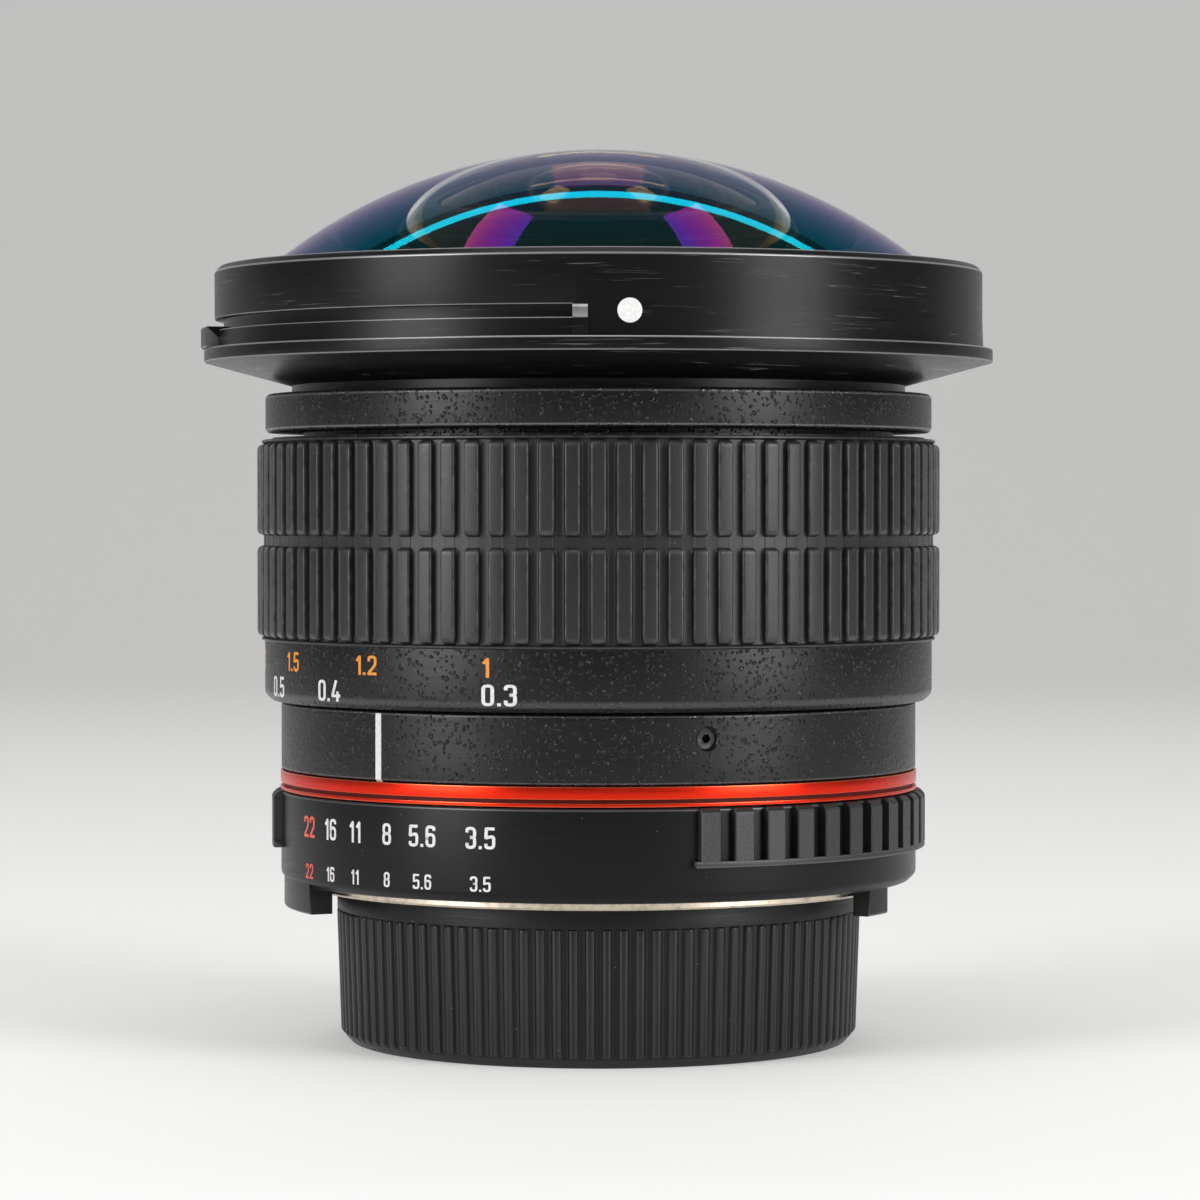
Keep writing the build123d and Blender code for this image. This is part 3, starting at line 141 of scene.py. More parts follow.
class Graph:
    """Adds nodes to a tree and joins them."""

    def __init__(self, tree: Tree) -> None:
        """Keeps the tree."""
        self.tree = tree

    def feed(self, socket: Socket, value: Value) -> None:
        """Joins a socket to a signal, or sets its own value.

        Args:
            socket: Input socket.
            value: Signal, number, vector or colour.
        """
        if isinstance(value, Signal):
            self.tree.links.new(value.socket, socket)
        elif socket.type == "RGBA":
            socket.default_value = (*value[:3], 1.0)
        else:
            socket.default_value = value

    def add(self, kind: str, inputs: Inputs | None = None, **settings: object) -> bpy.types.Node:
        """Makes a node.

        Args:
            kind: Type of the node.
            inputs: Values by the name or place of the input.
            **settings: Options of the node.

        Returns:
            The node.
        """
        node = self.tree.nodes.new(kind)
        for option, value in settings.items():
            setattr(node, option, value)
        for key, value in (inputs or {}).items():
            self.feed(node.inputs[key], value)
        return node

    def out(
        self, kind: str, inputs: Inputs | None = None, output: str | int = 0, **settings: object
    ) -> Signal:
        """Makes a node for one of its outputs.

        Args:
            kind: Type of the node.
            inputs: Values by the name or place of the input.
            output: Name or place of the output.
            **settings: Options of the node.

        Returns:
            The output.
        """
        return Signal(self, self.add(kind, inputs, **settings).outputs[output])

    def outs(self, kind: str, inputs: Inputs | None = None, **settings: object) -> dict[str, Signal]:
        """Makes a node for all its outputs.

        Args:
            kind: Type of the node.
            inputs: Values by the name or place of the input.
            **settings: Options of the node.

        Returns:
            The outputs by name.
        """
        node = self.add(kind, inputs, **settings)
        return {socket.name: Signal(self, socket) for socket in node.outputs}

    def math(self, operation: str, *values: Value, clamp: bool = False) -> Signal:
        """Result of a calculation on numbers."""
        return self.out("ShaderNodeMath", dict(enumerate(values)), operation=operation, use_clamp=clamp)

    def vector_math(self, operation: str, *values: Value) -> Signal:
        """Result of a calculation on vectors."""
        return self.out("ShaderNodeVectorMath", dict(enumerate(values)), operation=operation)

    def span(self, value: Value, low: float, high: float, start: float = 0.0, end: float = 1.0) -> Signal:
        """Eases a value from start to end as it goes from low to high."""
        inputs = {"Value": value, "From Min": low, "From Max": high, "To Min": start, "To Max": end}
        return self.out("ShaderNodeMapRange", inputs, interpolation_type="SMOOTHSTEP")

    def noise(self, vector: Value, scale: Value, detail: float = 2.0, distortion: float = 0.0) -> Signal:
        """Soft noise between 0 and 1."""
        inputs = {"Vector": vector, "Scale": scale, "Detail": detail, "Distortion": distortion}
        return self.out("ShaderNodeTexNoise", inputs, "Fac")

    def cells(self, vector: Value, scale: Value, feature: str = "F1") -> tuple[Signal, Signal]:
        """Pattern of cells.

        Args:
            vector: Place.
            scale: Cells per millimetre.
            feature: How distances are measured.

        Returns:
            Distance from a cell's middle, and the cell's random number.
        """
        cells = self.outs("ShaderNodeTexVoronoi", {"Vector": vector, "Scale": scale}, feature=feature)
        return cells["Distance"], self.out("ShaderNodeSeparateColor", {0: cells["Color"]})

    def blend(self, mask: Value, first: Value, second: Value) -> Signal:
        """Mix of two colours.

        Args:
            mask: 0 for the first colour, 1 for the second.
            first: First colour.
            second: Second colour.

        Returns:
            The colour.
        """
        return self.out("ShaderNodeMix", {0: mask, 6: first, 7: second}, 2, data_type="RGBA")

    def bump(self, height: Value, depth: float, normal: Signal | None = None) -> Signal:
        """Normal of a surface with this height over it.

        Args:
            height: Height from 0 to 1.
            depth: What a height of 1 is, in millimetres.
            normal: Normal to start from.

        Returns:
            The normal.
        """
        start = {} if normal is None else {"Normal": normal}
        return self.out("ShaderNodeBump", {"Height": height, "Distance": depth * METRE, **start})


class Effect(Enum):
    """Shader node groups that more than one finish uses."""

    PLACE = "Place in millimetres"
    EDGE_WEAR = "Edge wear"
    HAIRLINES = "Hairline scratches"
    DUST = "Dust specks"
    CRACKLE = "Crackle grain"
    FINE_GRAIN = "Fine grain"


class Effects:
    """Builds each shader node group once and places it in materials.

    A scale is a number of features per millimetre, a range is what a signal is eased between, and a
    shift is how far a group's input raises it.
    """

    UNROLL_RADIUS = 33.0
    WEAR_SCALES = (0.45, 4.0)
    WEAR_SHARES = (0.65, 0.35)
    WEAR_RANGE = (0.52, 0.78)
    WEAR_SHIFT = 0.5
    STREAK_SCALES = (0.17, 0.3, 6.0)
    STREAK_RANGE = (0.64, 0.76)
    STREAK_SHIFT = 0.12
    PATCH_SCALES = (0.1, 0.3, 0.55)
    PATCH_RANGE = (0.45, 0.62)
    SPECK_SCALE = 1.3
    SWIRL_SCALE = 1.6
    SWIRL_REACH = (0.5, 0.5, 0.5)
    GRAIN_SCALES = (2.5, 0.9, 6.0)
    GRAIN_RANGE = (0.44, 0.1)
    CHOSEN_RANGE = (0.36, 0.52)
    CLUSTER_RANGE = (0.42, 0.62)
    CLUSTER_SHIFT = 0.2
    BETWEEN_GRAINS = 0.13

    def __init__(self) -> None:
        """Starts with no group built."""
        self.built: dict[Effect, Tree] = {}
        self.makers = {
            Effect.PLACE: self._place,
            Effect.EDGE_WEAR: self._edge_wear,
            Effect.HAIRLINES: self._hairlines,
            Effect.DUST: self._dust,
            Effect.CRACKLE: self._crackle,
            Effect.FINE_GRAIN: self._fine_grain,
        }

    def use(self, graph: Graph, effect: Effect, **values: Value) -> dict[str, Signal]:
        """Places a group in a graph.

        Args:
            graph: Graph that gets the group.
            effect: Which group.
            **values: Its inputs.

        Returns:
            The group's outputs by name.
        """
        if effect not in self.built:
            self.built[effect] = self.makers[effect]()
        return graph.outs("ShaderNodeGroup", values, node_tree=self.built[effect])

    def _start(self, effect: Effect, **inputs: float) -> tuple[Graph, dict[str, Signal]]:
        """Begins a group.

        Args:
            effect: Group to make.
            **inputs: Number inputs and their usual values.

        Returns:
            The group's graph, and its inputs by name.
        """
        tree = bpy.data.node_groups.new(effect.value, "ShaderNodeTree")
        for name, value in inputs.items():
            socket = tree.interface.new_socket(name, in_out="INPUT", socket_type="NodeSocketFloat")
            socket.default_value = value
        graph = Graph(tree)
        return graph, graph.outs("NodeGroupInput")

    def _end(self, graph: Graph, **outputs: Signal) -> Tree:
        """Ends a group.

        Args:
            graph: The group's graph.
            **outputs: What it gives.

        Returns:
            The group.
        """
        for name, value in outputs.items():
            kind = "NodeSocketVector" if value.socket.type == "VECTOR" else "NodeSocketFloat"
            graph.tree.interface.new_socket(name, in_out="OUTPUT", socket_type=kind)
        graph.add("NodeGroupOutput", outputs)
        return graph.tree

    def _place(self) -> Tree:
        """Object coordinates in millimetres, plain and unrolled round the lens axis.

        Returns:
            The group.
        """
        graph, _ = self._start(Effect.PLACE)
        coordinates = graph.out("ShaderNodeTexCoord", output="Object")
        scaled = {0: coordinates, "Scale": 1 / METRE}
        point = graph.out("ShaderNodeVectorMath", scaled, operation="SCALE")
        x, y, z = graph.outs("ShaderNodeSeparateXYZ", {0: point}).values()
        turn = graph.math("ARCTAN2", x, y * -1.0)
        reach = graph.math("SQRT", graph.math("POWER", x, 2.0) + graph.math("POWER", y, 2.0))
        unrolled = graph.out("ShaderNodeCombineXYZ", {0: turn * self.UNROLL_RADIUS, 1: reach, 2: z})
        return self._end(graph, Point=point, Unrolled=unrolled)

    def _edge_wear(self) -> Tree:
        """Mask of paint that is worn off the edges that carry the wear attribute.

        Returns:
            The group.
        """
        graph, given = self._start(Effect.EDGE_WEAR, Amount=0.5, Scale=1.0)
        point = self.use(graph, Effect.PLACE)["Unrolled"]
        edge = graph.out("ShaderNodeAttribute", output="Fac", attribute_name="wear")
        patches = graph.noise(point, given["Scale"] * self.WEAR_SCALES[0], 4.0)
        flecks = graph.noise(point, given["Scale"] * self.WEAR_SCALES[1], 3.0)
        level = patches * self.WEAR_SHARES[0] + flecks * self.WEAR_SHARES[1]
        level = level + given["Amount"] * self.WEAR_SHIFT
        worn = graph.span(level, *self.WEAR_RANGE)
        return self._end(graph, Mask=graph.math("MULTIPLY", worn, edge, clamp=True))

    def _hairlines(self) -> Tree:
        """Mask of fine scratches that run round the lens, in patches.

        Returns:
            The group.
        """
        graph, given = self._start(Effect.HAIRLINES, Amount=0.5)
        point = self.use(graph, Effect.PLACE)["Unrolled"]
        streaks = graph.noise(graph.vector_math("MULTIPLY", point, self.STREAK_SCALES), 1.0, 5.0, 0.9)
        patches = graph.noise(graph.vector_math("MULTIPLY", point, self.PATCH_SCALES), 1.0, 4.0, 0.6)
        lines = graph.span(streaks + given["Amount"] * self.STREAK_SHIFT, *self.STREAK_RANGE)
        where = graph.span(patches, *self.PATCH_RANGE)
        return self._end(graph, Mask=lines * where, Streaks=(streaks - 0.5) * where + 0.5)

    def _dust(self) -> Tree:
        """Mask of small pale specks.

        Returns:
            The group.
        """
        graph, given = self._start(Effect.DUST, Amount=0.1, Size=0.1)
        distance, chance = graph.cells(self.use(graph, Effect.PLACE)["Point"], self.SPECK_SCALE)
        chosen = graph.math("LESS_THAN", chance, given["Amount"])
        return self._end(graph, Mask=chosen * graph.math("LESS_THAN", distance, given["Size"]))

    def _crackle(self) -> Tree:
        """Height of paint with raised grains, and where they are.

        Returns:
            The group.
        """
        graph, given = self._start(Effect.CRACKLE, Scale=1.0, Spread=0.5)
        point = self.use(graph, Effect.PLACE)["Point"]
        many, few, fine = self.GRAIN_SCALES
        swirl = {"Vector": point, "Scale": self.SWIRL_SCALE, "Detail": 2.0}
        swirl = graph.out("ShaderNodeTexNoise", swirl, "Color")
        shifted = graph.vector_math("ADD", point, graph.vector_math("MULTIPLY", swirl, self.SWIRL_REACH))
        distance, chance = graph.cells(shifted, given["Scale"] * many, "SMOOTH_F1")
        clusters = graph.noise(point, given["Scale"] * few, 3.0)
        clusters = clusters + given["Spread"] * self.CLUSTER_SHIFT
        grains = graph.span(distance, *self.GRAIN_RANGE) * graph.span(chance, *self.CHOSEN_RANGE)
        grains = grains * graph.span(clusters, *self.CLUSTER_RANGE)
        between = graph.noise(point, fine, 2.0) * self.BETWEEN_GRAINS
        return self._end(graph, Height=grains + between, Grains=grains)

    def _fine_grain(self) -> Tree:
        """Height of moulded or cast grain.

        Returns:
            The group.
        """
        graph, given = self._start(Effect.FINE_GRAIN, Scale=8.0)
        point = self.use(graph, Effect.PLACE)["Point"]
        return self._end(graph, Height=graph.noise(point, given["Scale"], 3.0))


EFFECTS = Effects()


# Finishes


@dataclass(frozen=True)
class Finish:
    """What every finish has: its name, its place in the record, its colour and its gloss."""

    STREAK_SWING: ClassVar = (0.3, 0.7)

    name: str
    slot: Slot
    colour: Colour
    roughness: float
    specular: float = 0.5

    def material(self) -> bpy.types.Material:
        """Material of this finish, built the first time it is asked for.

        Returns:
            The material.
        """
        material = bpy.data.materials.get(self.name)
        if material is None:
            material = bpy.data.materials.new(self.name)
            material.use_nodes = True
            material.diffuse_color = (*self.colour, 1.0)
            graph = Graph(material.node_tree)
            shader = material.node_tree.nodes["Principled BSDF"]
            values: dict[str, Value] = {"Base Color": self.colour, "Roughness": self.roughness}
            values["Specular IOR Level"] = self.specular
            for name, value in (values | self.dress(graph)).items():
                graph.feed(shader.inputs[name], value)
        return material

    def dress(self, graph: Graph) -> dict[str, Value]:
        """What this kind of finish feeds its shader. The plain one has nothing more."""
        return {}


@dataclass(frozen=True)
class PaintFinish(Finish):
    """Paint on metal, with raised grain, scratches, dust and edges worn to a paler tone."""

    SPECK_COLOUR: ClassVar = (0.35, 0.34, 0.32)
    SPECK_SHARE: ClassVar = 0.4
    GRAIN_GLOSS: ClassVar = 0.14
    SPECK_SIZE: ClassVar = 0.07
    BARE_SHARE: ClassVar = 0.7
    FINE_SCALE: ClassVar = 5.0
    GLOSS_SWING: ClassVar = (-0.05, 0.06)

    worn_colour: Colour = (0.16, 0.16, 0.17)
    wear: float = 0.5
    scratches: float = 0.3
    grain_depth: float = 0.0
    grain_spread: float = 0.5
    grain_colour: Colour = (0.03, 0.03, 0.03)
    fine_depth: float = 0.006
    dust: float = 0.03
    metal: float = 0.0

    def dress(self, graph: Graph) -> dict[str, Value]:
        """Adds grain, wear, scratches and dust to the paint.

        Args:
            graph: Node graph of the material.

        Returns:
            What goes into the shader.
        """
        worn = EFFECTS.use(graph, Effect.EDGE_WEAR, Amount=self.wear)["Mask"]
        lines = EFFECTS.use(graph, Effect.HAIRLINES, Amount=self.scratches)
        specks = EFFECTS.use(graph, Effect.DUST, Amount=self.dust, Size=self.SPECK_SIZE)["Mask"]
        fine = EFFECTS.use(graph, Effect.FINE_GRAIN, Scale=self.FINE_SCALE)["Height"]
        normal = graph.bump(fine, self.fine_depth)
        colour: Value = self.colour
        low, high = (self.roughness + swing for swing in self.GLOSS_SWING)
        gloss = graph.span(lines["Streaks"], *self.STREAK_SWING, low, high)
        if self.grain_depth > 0:
            grain = EFFECTS.use(graph, Effect.CRACKLE, Spread=self.grain_spread)
            normal = graph.bump(grain["Height"], self.grain_depth, normal)
            colour = graph.blend(grain["Grains"], self.colour, self.grain_colour)
            gloss = gloss - grain["Grains"] * self.GRAIN_GLOSS
        colour = graph.blend(lines["Mask"] * self.scratches, colour, self.worn_colour)
        colour = graph.blend(worn, colour, self.worn_colour)
        colour = graph.blend(specks * self.SPECK_SHARE, colour, self.SPECK_COLOUR)
        metal = graph.math("MAXIMUM", worn * self.BARE_SHARE, self.metal)
        return {"Base Color": colour, "Metallic": metal, "Roughness": gloss, "Normal": normal}


@dataclass(frozen=True)
class MetalFinish(Finish):
    """Bare or plated metal, turned on a lathe, so that its lines run round the axis."""

    LINE_AMOUNT: ClassVar = 0.4
    STAIN_SCALE: ClassVar = 1.2
    STAIN_RANGE: ClassVar = (0.45, 0.75)
    STAIN_SHARE: ClassVar = 0.45
    GLOSS_SHARES: ClassVar = (0.8, 1.3)

    line_depth: float = 0.004
    tarnish: Colour = (0.2, 0.19, 0.18)

    def dress(self, graph: Graph) -> dict[str, Value]:
        """Adds turning lines and tarnish to the metal.

        Args:
            graph: Node graph of the material.

        Returns:
            What goes into the shader.
        """
        lines = EFFECTS.use(graph, Effect.HAIRLINES, Amount=self.LINE_AMOUNT)
        fine = EFFECTS.use(graph, Effect.FINE_GRAIN, Scale=self.STAIN_SCALE)["Height"]
        stain = graph.span(fine, *self.STAIN_RANGE, 0.0, self.STAIN_SHARE)
        low, high = (self.roughness * share for share in self.GLOSS_SHARES)
        return {
            "Base Color": graph.blend(stain, self.colour, self.tarnish), "Metallic": 1.0,
            "Roughness": graph.span(lines["Streaks"], *self.STREAK_SWING, low, high),
            "Normal": graph.bump(lines["Streaks"], self.line_depth),
        }


@dataclass(frozen=True)
class MouldedFinish(Finish):
    """Moulded rubber or plastic, whose ribs differ a little and whose edges are rubbed shiny."""

    SPECK_COLOUR: ClassVar = (0.4, 0.39, 0.37)
    SPECK_SHARE: ClassVar = 0.5
    SPECK_SIZE: ClassVar = 0.075
    RIB_SHARE: ClassVar = 0.6
    WEAR_SCALE: ClassVar = 2.0
    LINE_AMOUNT: ClassVar = 0.2
    GLOSS_SWING: ClassVar = 0.06
    RUBBED_GLOSS: ClassVar = 0.12

    edge_colour: Colour = (0.1, 0.1, 0.1)
    edge_wear: float = 0.7
    grain_depth: float = 0.01
    grain_scale: float = 7.0
    rib_change: float = 0.25
    dust: float = 0.08

    def dress(self, graph: Graph) -> dict[str, Value]:
        """Adds rib differences, rubbed edges, grain and dust.

        Args:
            graph: Node graph of the material.

        Returns:
            What goes into the shader.
        """
        worn = EFFECTS.use(graph, Effect.EDGE_WEAR, Amount=self.edge_wear, Scale=self.WEAR_SCALE)["Mask"]
        specks = EFFECTS.use(graph, Effect.DUST, Amount=self.dust, Size=self.SPECK_SIZE)["Mask"]
        fine = EFFECTS.use(graph, Effect.FINE_GRAIN, Scale=self.grain_scale)["Height"]
        lines = EFFECTS.use(graph, Effect.HAIRLINES, Amount=self.LINE_AMOUNT)["Streaks"]
        rib = graph.out("ShaderNodeAttribute", output="Fac", attribute_name="shade")
        darker = tuple(part * (1 - self.rib_change) for part in self.colour)
        lighter = tuple(part * (1 + self.rib_change) for part in self.colour)
        tone = rib * self.RIB_SHARE + fine * (1 - self.RIB_SHARE)
        colour = graph.blend(tone, darker, lighter)
        colour = graph.blend(worn, colour, self.edge_colour)
        colour = graph.blend(specks * self.SPECK_SHARE, colour, self.SPECK_COLOUR)
        low, high = self.roughness - self.GLOSS_SWING, self.roughness + self.GLOSS_SWING
        gloss = graph.span(lines, *self.STREAK_SWING, low, high)
        gloss = gloss - worn * self.RUBBED_GLOSS
        return {"Base Color": colour, "Roughness": gloss, "Normal": graph.bump(fine, self.grain_depth)}


@dataclass(frozen=True)
class MarkFinish(Finish):
    """Paint of a number or a mark, chipped in a few places."""

    CHIP_SCALE: ClassVar = 3.2
    CHIP_RANGE: ClassVar = (0.7, 0.76)
    FADE_RANGE: ClassVar = (0.35, 0.65)
    FADED: ClassVar = 0.88

    chip_colour: Colour = (0.02, 0.02, 0.02)
    grain_depth: float = 0.01

    def dress(self, graph: Graph) -> dict[str, Value]:
        """Adds chips and uneven paint to the mark.

        Args:
            graph: Node graph of the material.

        Returns:
            What goes into the shader.
        """
        fine = EFFECTS.use(graph, Effect.FINE_GRAIN, Scale=self.CHIP_SCALE)["Height"]
        chips = graph.span(fine, *self.CHIP_RANGE)
        faded = tuple(part * self.FADED for part in self.colour)
        colour = graph.blend(graph.span(fine, *self.FADE_RANGE), faded, self.colour)
        colour = graph.blend(chips, colour, self.chip_colour)
        return {"Base Color": colour, "Normal": graph.bump(fine, self.grain_depth)}


@dataclass(frozen=True)
class GlassFinish(Finish):
    """Coated glass."""

    SMEAR_SCALE: ClassVar = 0.35
    SMEAR_RANGE: ClassVar = (0.5, 0.8)
    SMEAR_GLOSS: ClassVar = 0.02

    index: float = 1.55
    coating: Colour = (0.2, 0.75, 1.0)
    film: float = 0.0
    film_index: float = 1.25

    def dress(self, graph: Graph) -> dict[str, Value]:
        """Adds the coating, with the faintest unevenness of a polished surface.

        Args:
            graph: Node graph of the material.

        Returns:
            What goes into the shader.
        """
        smear = EFFECTS.use(graph, Effect.FINE_GRAIN, Scale=self.SMEAR_SCALE)["Height"]
        low, high = self.roughness, self.roughness + self.SMEAR_GLOSS
        return {
            "Transmission Weight": 1.0, "IOR": self.index, "Specular Tint": self.coating,
            "Thin Film Thickness": self.film, "Thin Film IOR": self.film_index,
            "Roughness": graph.span(smear, *self.SMEAR_RANGE, low, high),
        }


CRACKLE_PAINT = PaintFinish(
    "Crackle paint", Slot.CRACKLE, (0.006, 0.006, 0.0065), 0.34, specular=0.3, wear=0.75, scratches=0.05,
    grain_depth=0.09, grain_spread=0.8, grain_colour=(0.011, 0.011, 0.011),
)
SMOOTH_PAINT = PaintFinish(
    "Smooth ring paint", Slot.RING, (0.005, 0.005, 0.0055), 0.33, specular=0.2, wear=0.8, scratches=0.06,
    fine_depth=0.012, dust=0.05,
)
FINGER_PAINT = PaintFinish(
    "Textured finger paint", Slot.RING, (0.016, 0.016, 0.0165), 0.44, specular=0.6, wear=0.6,
    scratches=0.06, fine_depth=0.03, dust=0.04,
)
HOOD_PAINT = PaintFinish(
    "Worn hood paint", Slot.HOOD, (0.005, 0.005, 0.0055), 0.32, specular=0.2,
    worn_colour=(0.34, 0.34, 0.35), wear=1.3, scratches=0.34, fine_depth=0.004,
)
BEZEL_PAINT = PaintFinish(
    "Matt bezel paint", Slot.BEZEL, (0.006, 0.006, 0.0065), 0.45, wear=0.4, scratches=0.05
)
INSIDE_PAINT = PaintFinish(
    "Matt black inside", Slot.INSIDE, (0.004, 0.004, 0.004), 0.6, specular=0.2, wear=0.2,
    scratches=0.05, dust=0.0,
)
ACCENT_PAINT = PaintFinish(
    "Anodised red", Slot.ACCENT, (0.72, 0.022, 0.006), 0.27, metal=0.9, worn_colour=(0.9, 0.32, 0.14),
    wear=0.6, scratches=0.1, fine_depth=0.002,
)
# Painted shade: a dark red for a thin sheet laid in the red ring's groove. It stands in for the shade that
# falls in the groove.
ACCENT_GROOVE_PAINTED_SHADE = PaintFinish(
    "Painted shade in the red groove", Slot.ACCENT, (0.09, 0.003, 0.002), 0.5, specular=0.2, wear=0.0,
    scratches=0.0, dust=0.0,
)
BARE_METAL = MetalFinish("Bare hood metal", Slot.HOOD, (0.42, 0.42, 0.43), 0.34)
MOUNT_METAL = MetalFinish("Plated mount", Slot.MOUNT, (0.72, 0.62, 0.5), 0.26)
SCREW_METAL = MetalFinish("Blackened steel", Slot.SCREW, (0.035, 0.035, 0.037), 0.36)
SPRING_METAL = MetalFinish("Spring steel", Slot.SPRING, (0.5, 0.5, 0.5), 0.25)
BLADE_METAL = MetalFinish("Blued blade steel", Slot.BLADE, (0.05, 0.05, 0.055), 0.4)
TUBE_METAL = MetalFinish("Turned aluminium", Slot.TUBE, (0.5, 0.5, 0.51), 0.38)
CAM_METAL = MetalFinish("Turned brass", Slot.CAM, (0.68, 0.5, 0.24), 0.33)
GRIP_RUBBER = MouldedFinish(
    "Grip rubber", Slot.GRIP, (0.017, 0.017, 0.0175), 0.38, specular=0.42, edge_colour=(0.06, 0.06, 0.06),
    edge_wear=0.3, grain_depth=0.014,
)
CAP_PLASTIC = MouldedFinish(
    "Cap plastic", Slot.CAP, (0.009, 0.009, 0.0095), 0.42, specular=0.25,
    edge_colour=(0.03, 0.03, 0.031), rib_change=0.15,
)
WHITE_MARK = MarkFinish("White marks", Slot.RING, (0.80, 0.80, 0.79), 0.45)
SCALE_WHITE = MarkFinish("White scale marks", Slot.CRACKLE, (0.76, 0.76, 0.75), 0.45)
SCALE_ORANGE = MarkFinish("Orange scale marks", Slot.CRACKLE, (0.84, 0.30, 0.025), 0.45)
STOP_RED = MarkFinish("Red marks", Slot.RING, (0.78, 0.12, 0.09), 0.45)
HOOD_DOT = MarkFinish("White dot", Slot.HOOD, (0.86, 0.86, 0.85), 0.5)
FRONT_GLASS = GlassFinish(
    "Coated front glass", Slot.COATED, (1.0, 1.0, 1.0), 0.0, coating=(1.0, 1.0, 1.0), film=553.0
)
INNER_GLASS = GlassFinish(
    "Coated inner glass", Slot.GLASS, (1.0, 1.0, 1.0), 0.0, coating=(1.0, 1.0, 1.0), film=115.0
)

NODE_FINISHES = {
    finish.slot.value: finish
    for finish in (
        MOUNT_METAL, SCREW_METAL, SPRING_METAL, BLADE_METAL, TUBE_METAL, INSIDE_PAINT, CAM_METAL,
        CRACKLE_PAINT, SMOOTH_PAINT, HOOD_PAINT, BEZEL_PAINT, ACCENT_PAINT, GRIP_RUBBER, CAP_PLASTIC,
        FRONT_GLASS, INNER_GLASS,
    )
}


# Turned shapes


class Corner(NamedTuple):
    """Corner of a half-section: where it is, how far it is rounded and how worn it is."""

    radius: float
    height: float
    rounding: float = 0.0
    wear: float = 0.0


# Half-section of a turned shape, as rows that fill a Corner
Section = Sequence[tuple[float, ...]]


def rounded(section: Section, steps: int = 3) -> list[Point]:
    """Rounds the corners of a half-section.

    Args:
        section: The half-section.
        steps: Faces across each rounding.

    Returns:
        Points as radius, height and wear.
    """
    corners = [Corner(*row) for row in section]
    points: list[Point] = []
    for place, corner in enumerate(corners):
        if corner.rounding <= 0:
            points.append((corner.radius, corner.height, corner.wear))
            continue
        ends = []
        for other in (corners[place - 1], corners[(place + 1) % len(corners)]):
            away = (other.radius - corner.radius, other.height - corner.height)
            share = min(corner.rounding / max(hypot(*away), MERGE_METRES), ROUNDING_SHARE)
            ends.append((corner.radius + share * away[0], corner.height + share * away[1]))
        for step in range(steps + 1):
            late = step / steps
            weights = ((1 - late) ** 2, 2 * late * (1 - late), late**2)
            spots = (ends[0], (corner.radius, corner.height), ends[1])
            radius, height = (sum(w * s[axis] for w, s in zip(weights, spots)) for axis in (0, 1))
            points.append((radius, height, corner.wear if 0 < step < steps else 0.0))
    return points


def within(angle: float, start: float, arc: float) -> bool:
    """True where an angle lies in an arc."""
    return (angle - start) % FULL_TURN <= arc


def columns(
    count: int, edges: Iterable[float] = (), start: float = 0.0, arc: float = FULL_TURN
) -> list[float]:
    """Angles of a turned shape's columns.

    Args:
        count: Even columns.
        edges: Angles where the section changes, which get a close pair of columns.
        start: First angle.
        arc: Arc that the columns fill.

    Returns:
        Angles in order.
    """
    half_step = 0.05
    whole = arc >= FULL_TURN
    even = [start + place * arc / (count if whole else count - 1) for place in range(count)]
    angles = set(even)
    for edge in edges:
        near = start + (edge - start) % FULL_TURN
        angles = {a for a in angles if abs(a - near) > 4 * half_step}
        angles |= {near - half_step, near + half_step}
    return sorted(angles)


def new_object(name: str, data: bpy.types.ID) -> Piece:
    """Object in the scene.

    Args:
        name: Name of the object.
        data: Its mesh, light or camera.

    Returns:
        The object.
    """
    piece = bpy.data.objects.new(name, data)
    bpy.context.scene.collection.objects.link(piece)
    return piece


def aimed(name: str, data: bpy.types.ID, place: Point, target: Point) -> Piece:
    """Light or camera that looks at a point.

    Args:
        name: Name of the object.
        data: The light or camera.
        place: Where it is, in metres.
        target: Where it looks, in metres.

    Returns:
        The object.
    """
    piece = new_object(name, data)
    piece.location = place
    piece.rotation_euler = (Vector(target) - Vector(place)).to_track_quat("-Z", "Y").to_euler()
    return piece


def shade(mesh: Mesh, angle: float) -> None:
    """Smooth shading that stays sharp at steep edges."""
    mesh.shade_smooth()
    mesh.set_sharp_from_angle(angle=angle)


def settle(piece: Piece, modifier: bpy.types.Modifier, sharp: float = SHARP_ANGLE) -> None:
    """Makes a modifier's result the piece's own mesh.

    Args:
        piece: The piece.
        modifier: Its modifier, which is taken off.
        sharp: Angle between faces from which an edge stays sharp, in radians.
    """
    evaluated = piece.evaluated_get(bpy.context.evaluated_depsgraph_get())
    mesh = bpy.data.meshes.new_from_object(evaluated)
    piece.modifiers.remove(modifier)
    mesh.name = piece.name
    shade(mesh, sharp)
    piece.data = mesh


def bridge(shape: Shape, near: Row, far: Row, loop: bool = True) -> None:
    """Adds the faces between two rows of vertices.

    Args:
        shape: Shape that gets them.
        near: First row.
        far: Second row.
        loop: True where the rows' ends join.
    """
    for place in range(len(near) if loop else len(near) - 1):
        after = (place + 1) % len(near)
        shape.faces.new((near[place], far[place], far[after], near[after]))


def cap_ends(shape: Shape, first: Row, last: Row) -> None:
    """Closes both ends of a row of loops."""
    shape.faces.new(first)
    shape.faces.new(reversed(last))


def clean(shape: Shape) -> None:
    """Merges a closed shape's doubles and turns its faces outwards.

    Args:
        shape: The shape.
    """
    bmesh.ops.remove_doubles(shape, verts=shape.verts, dist=MERGE_METRES)
    bmesh.ops.dissolve_degenerate(shape, edges=shape.edges, dist=MERGE_METRES)
    bmesh.ops.recalc_face_normals(shape, faces=shape.faces)


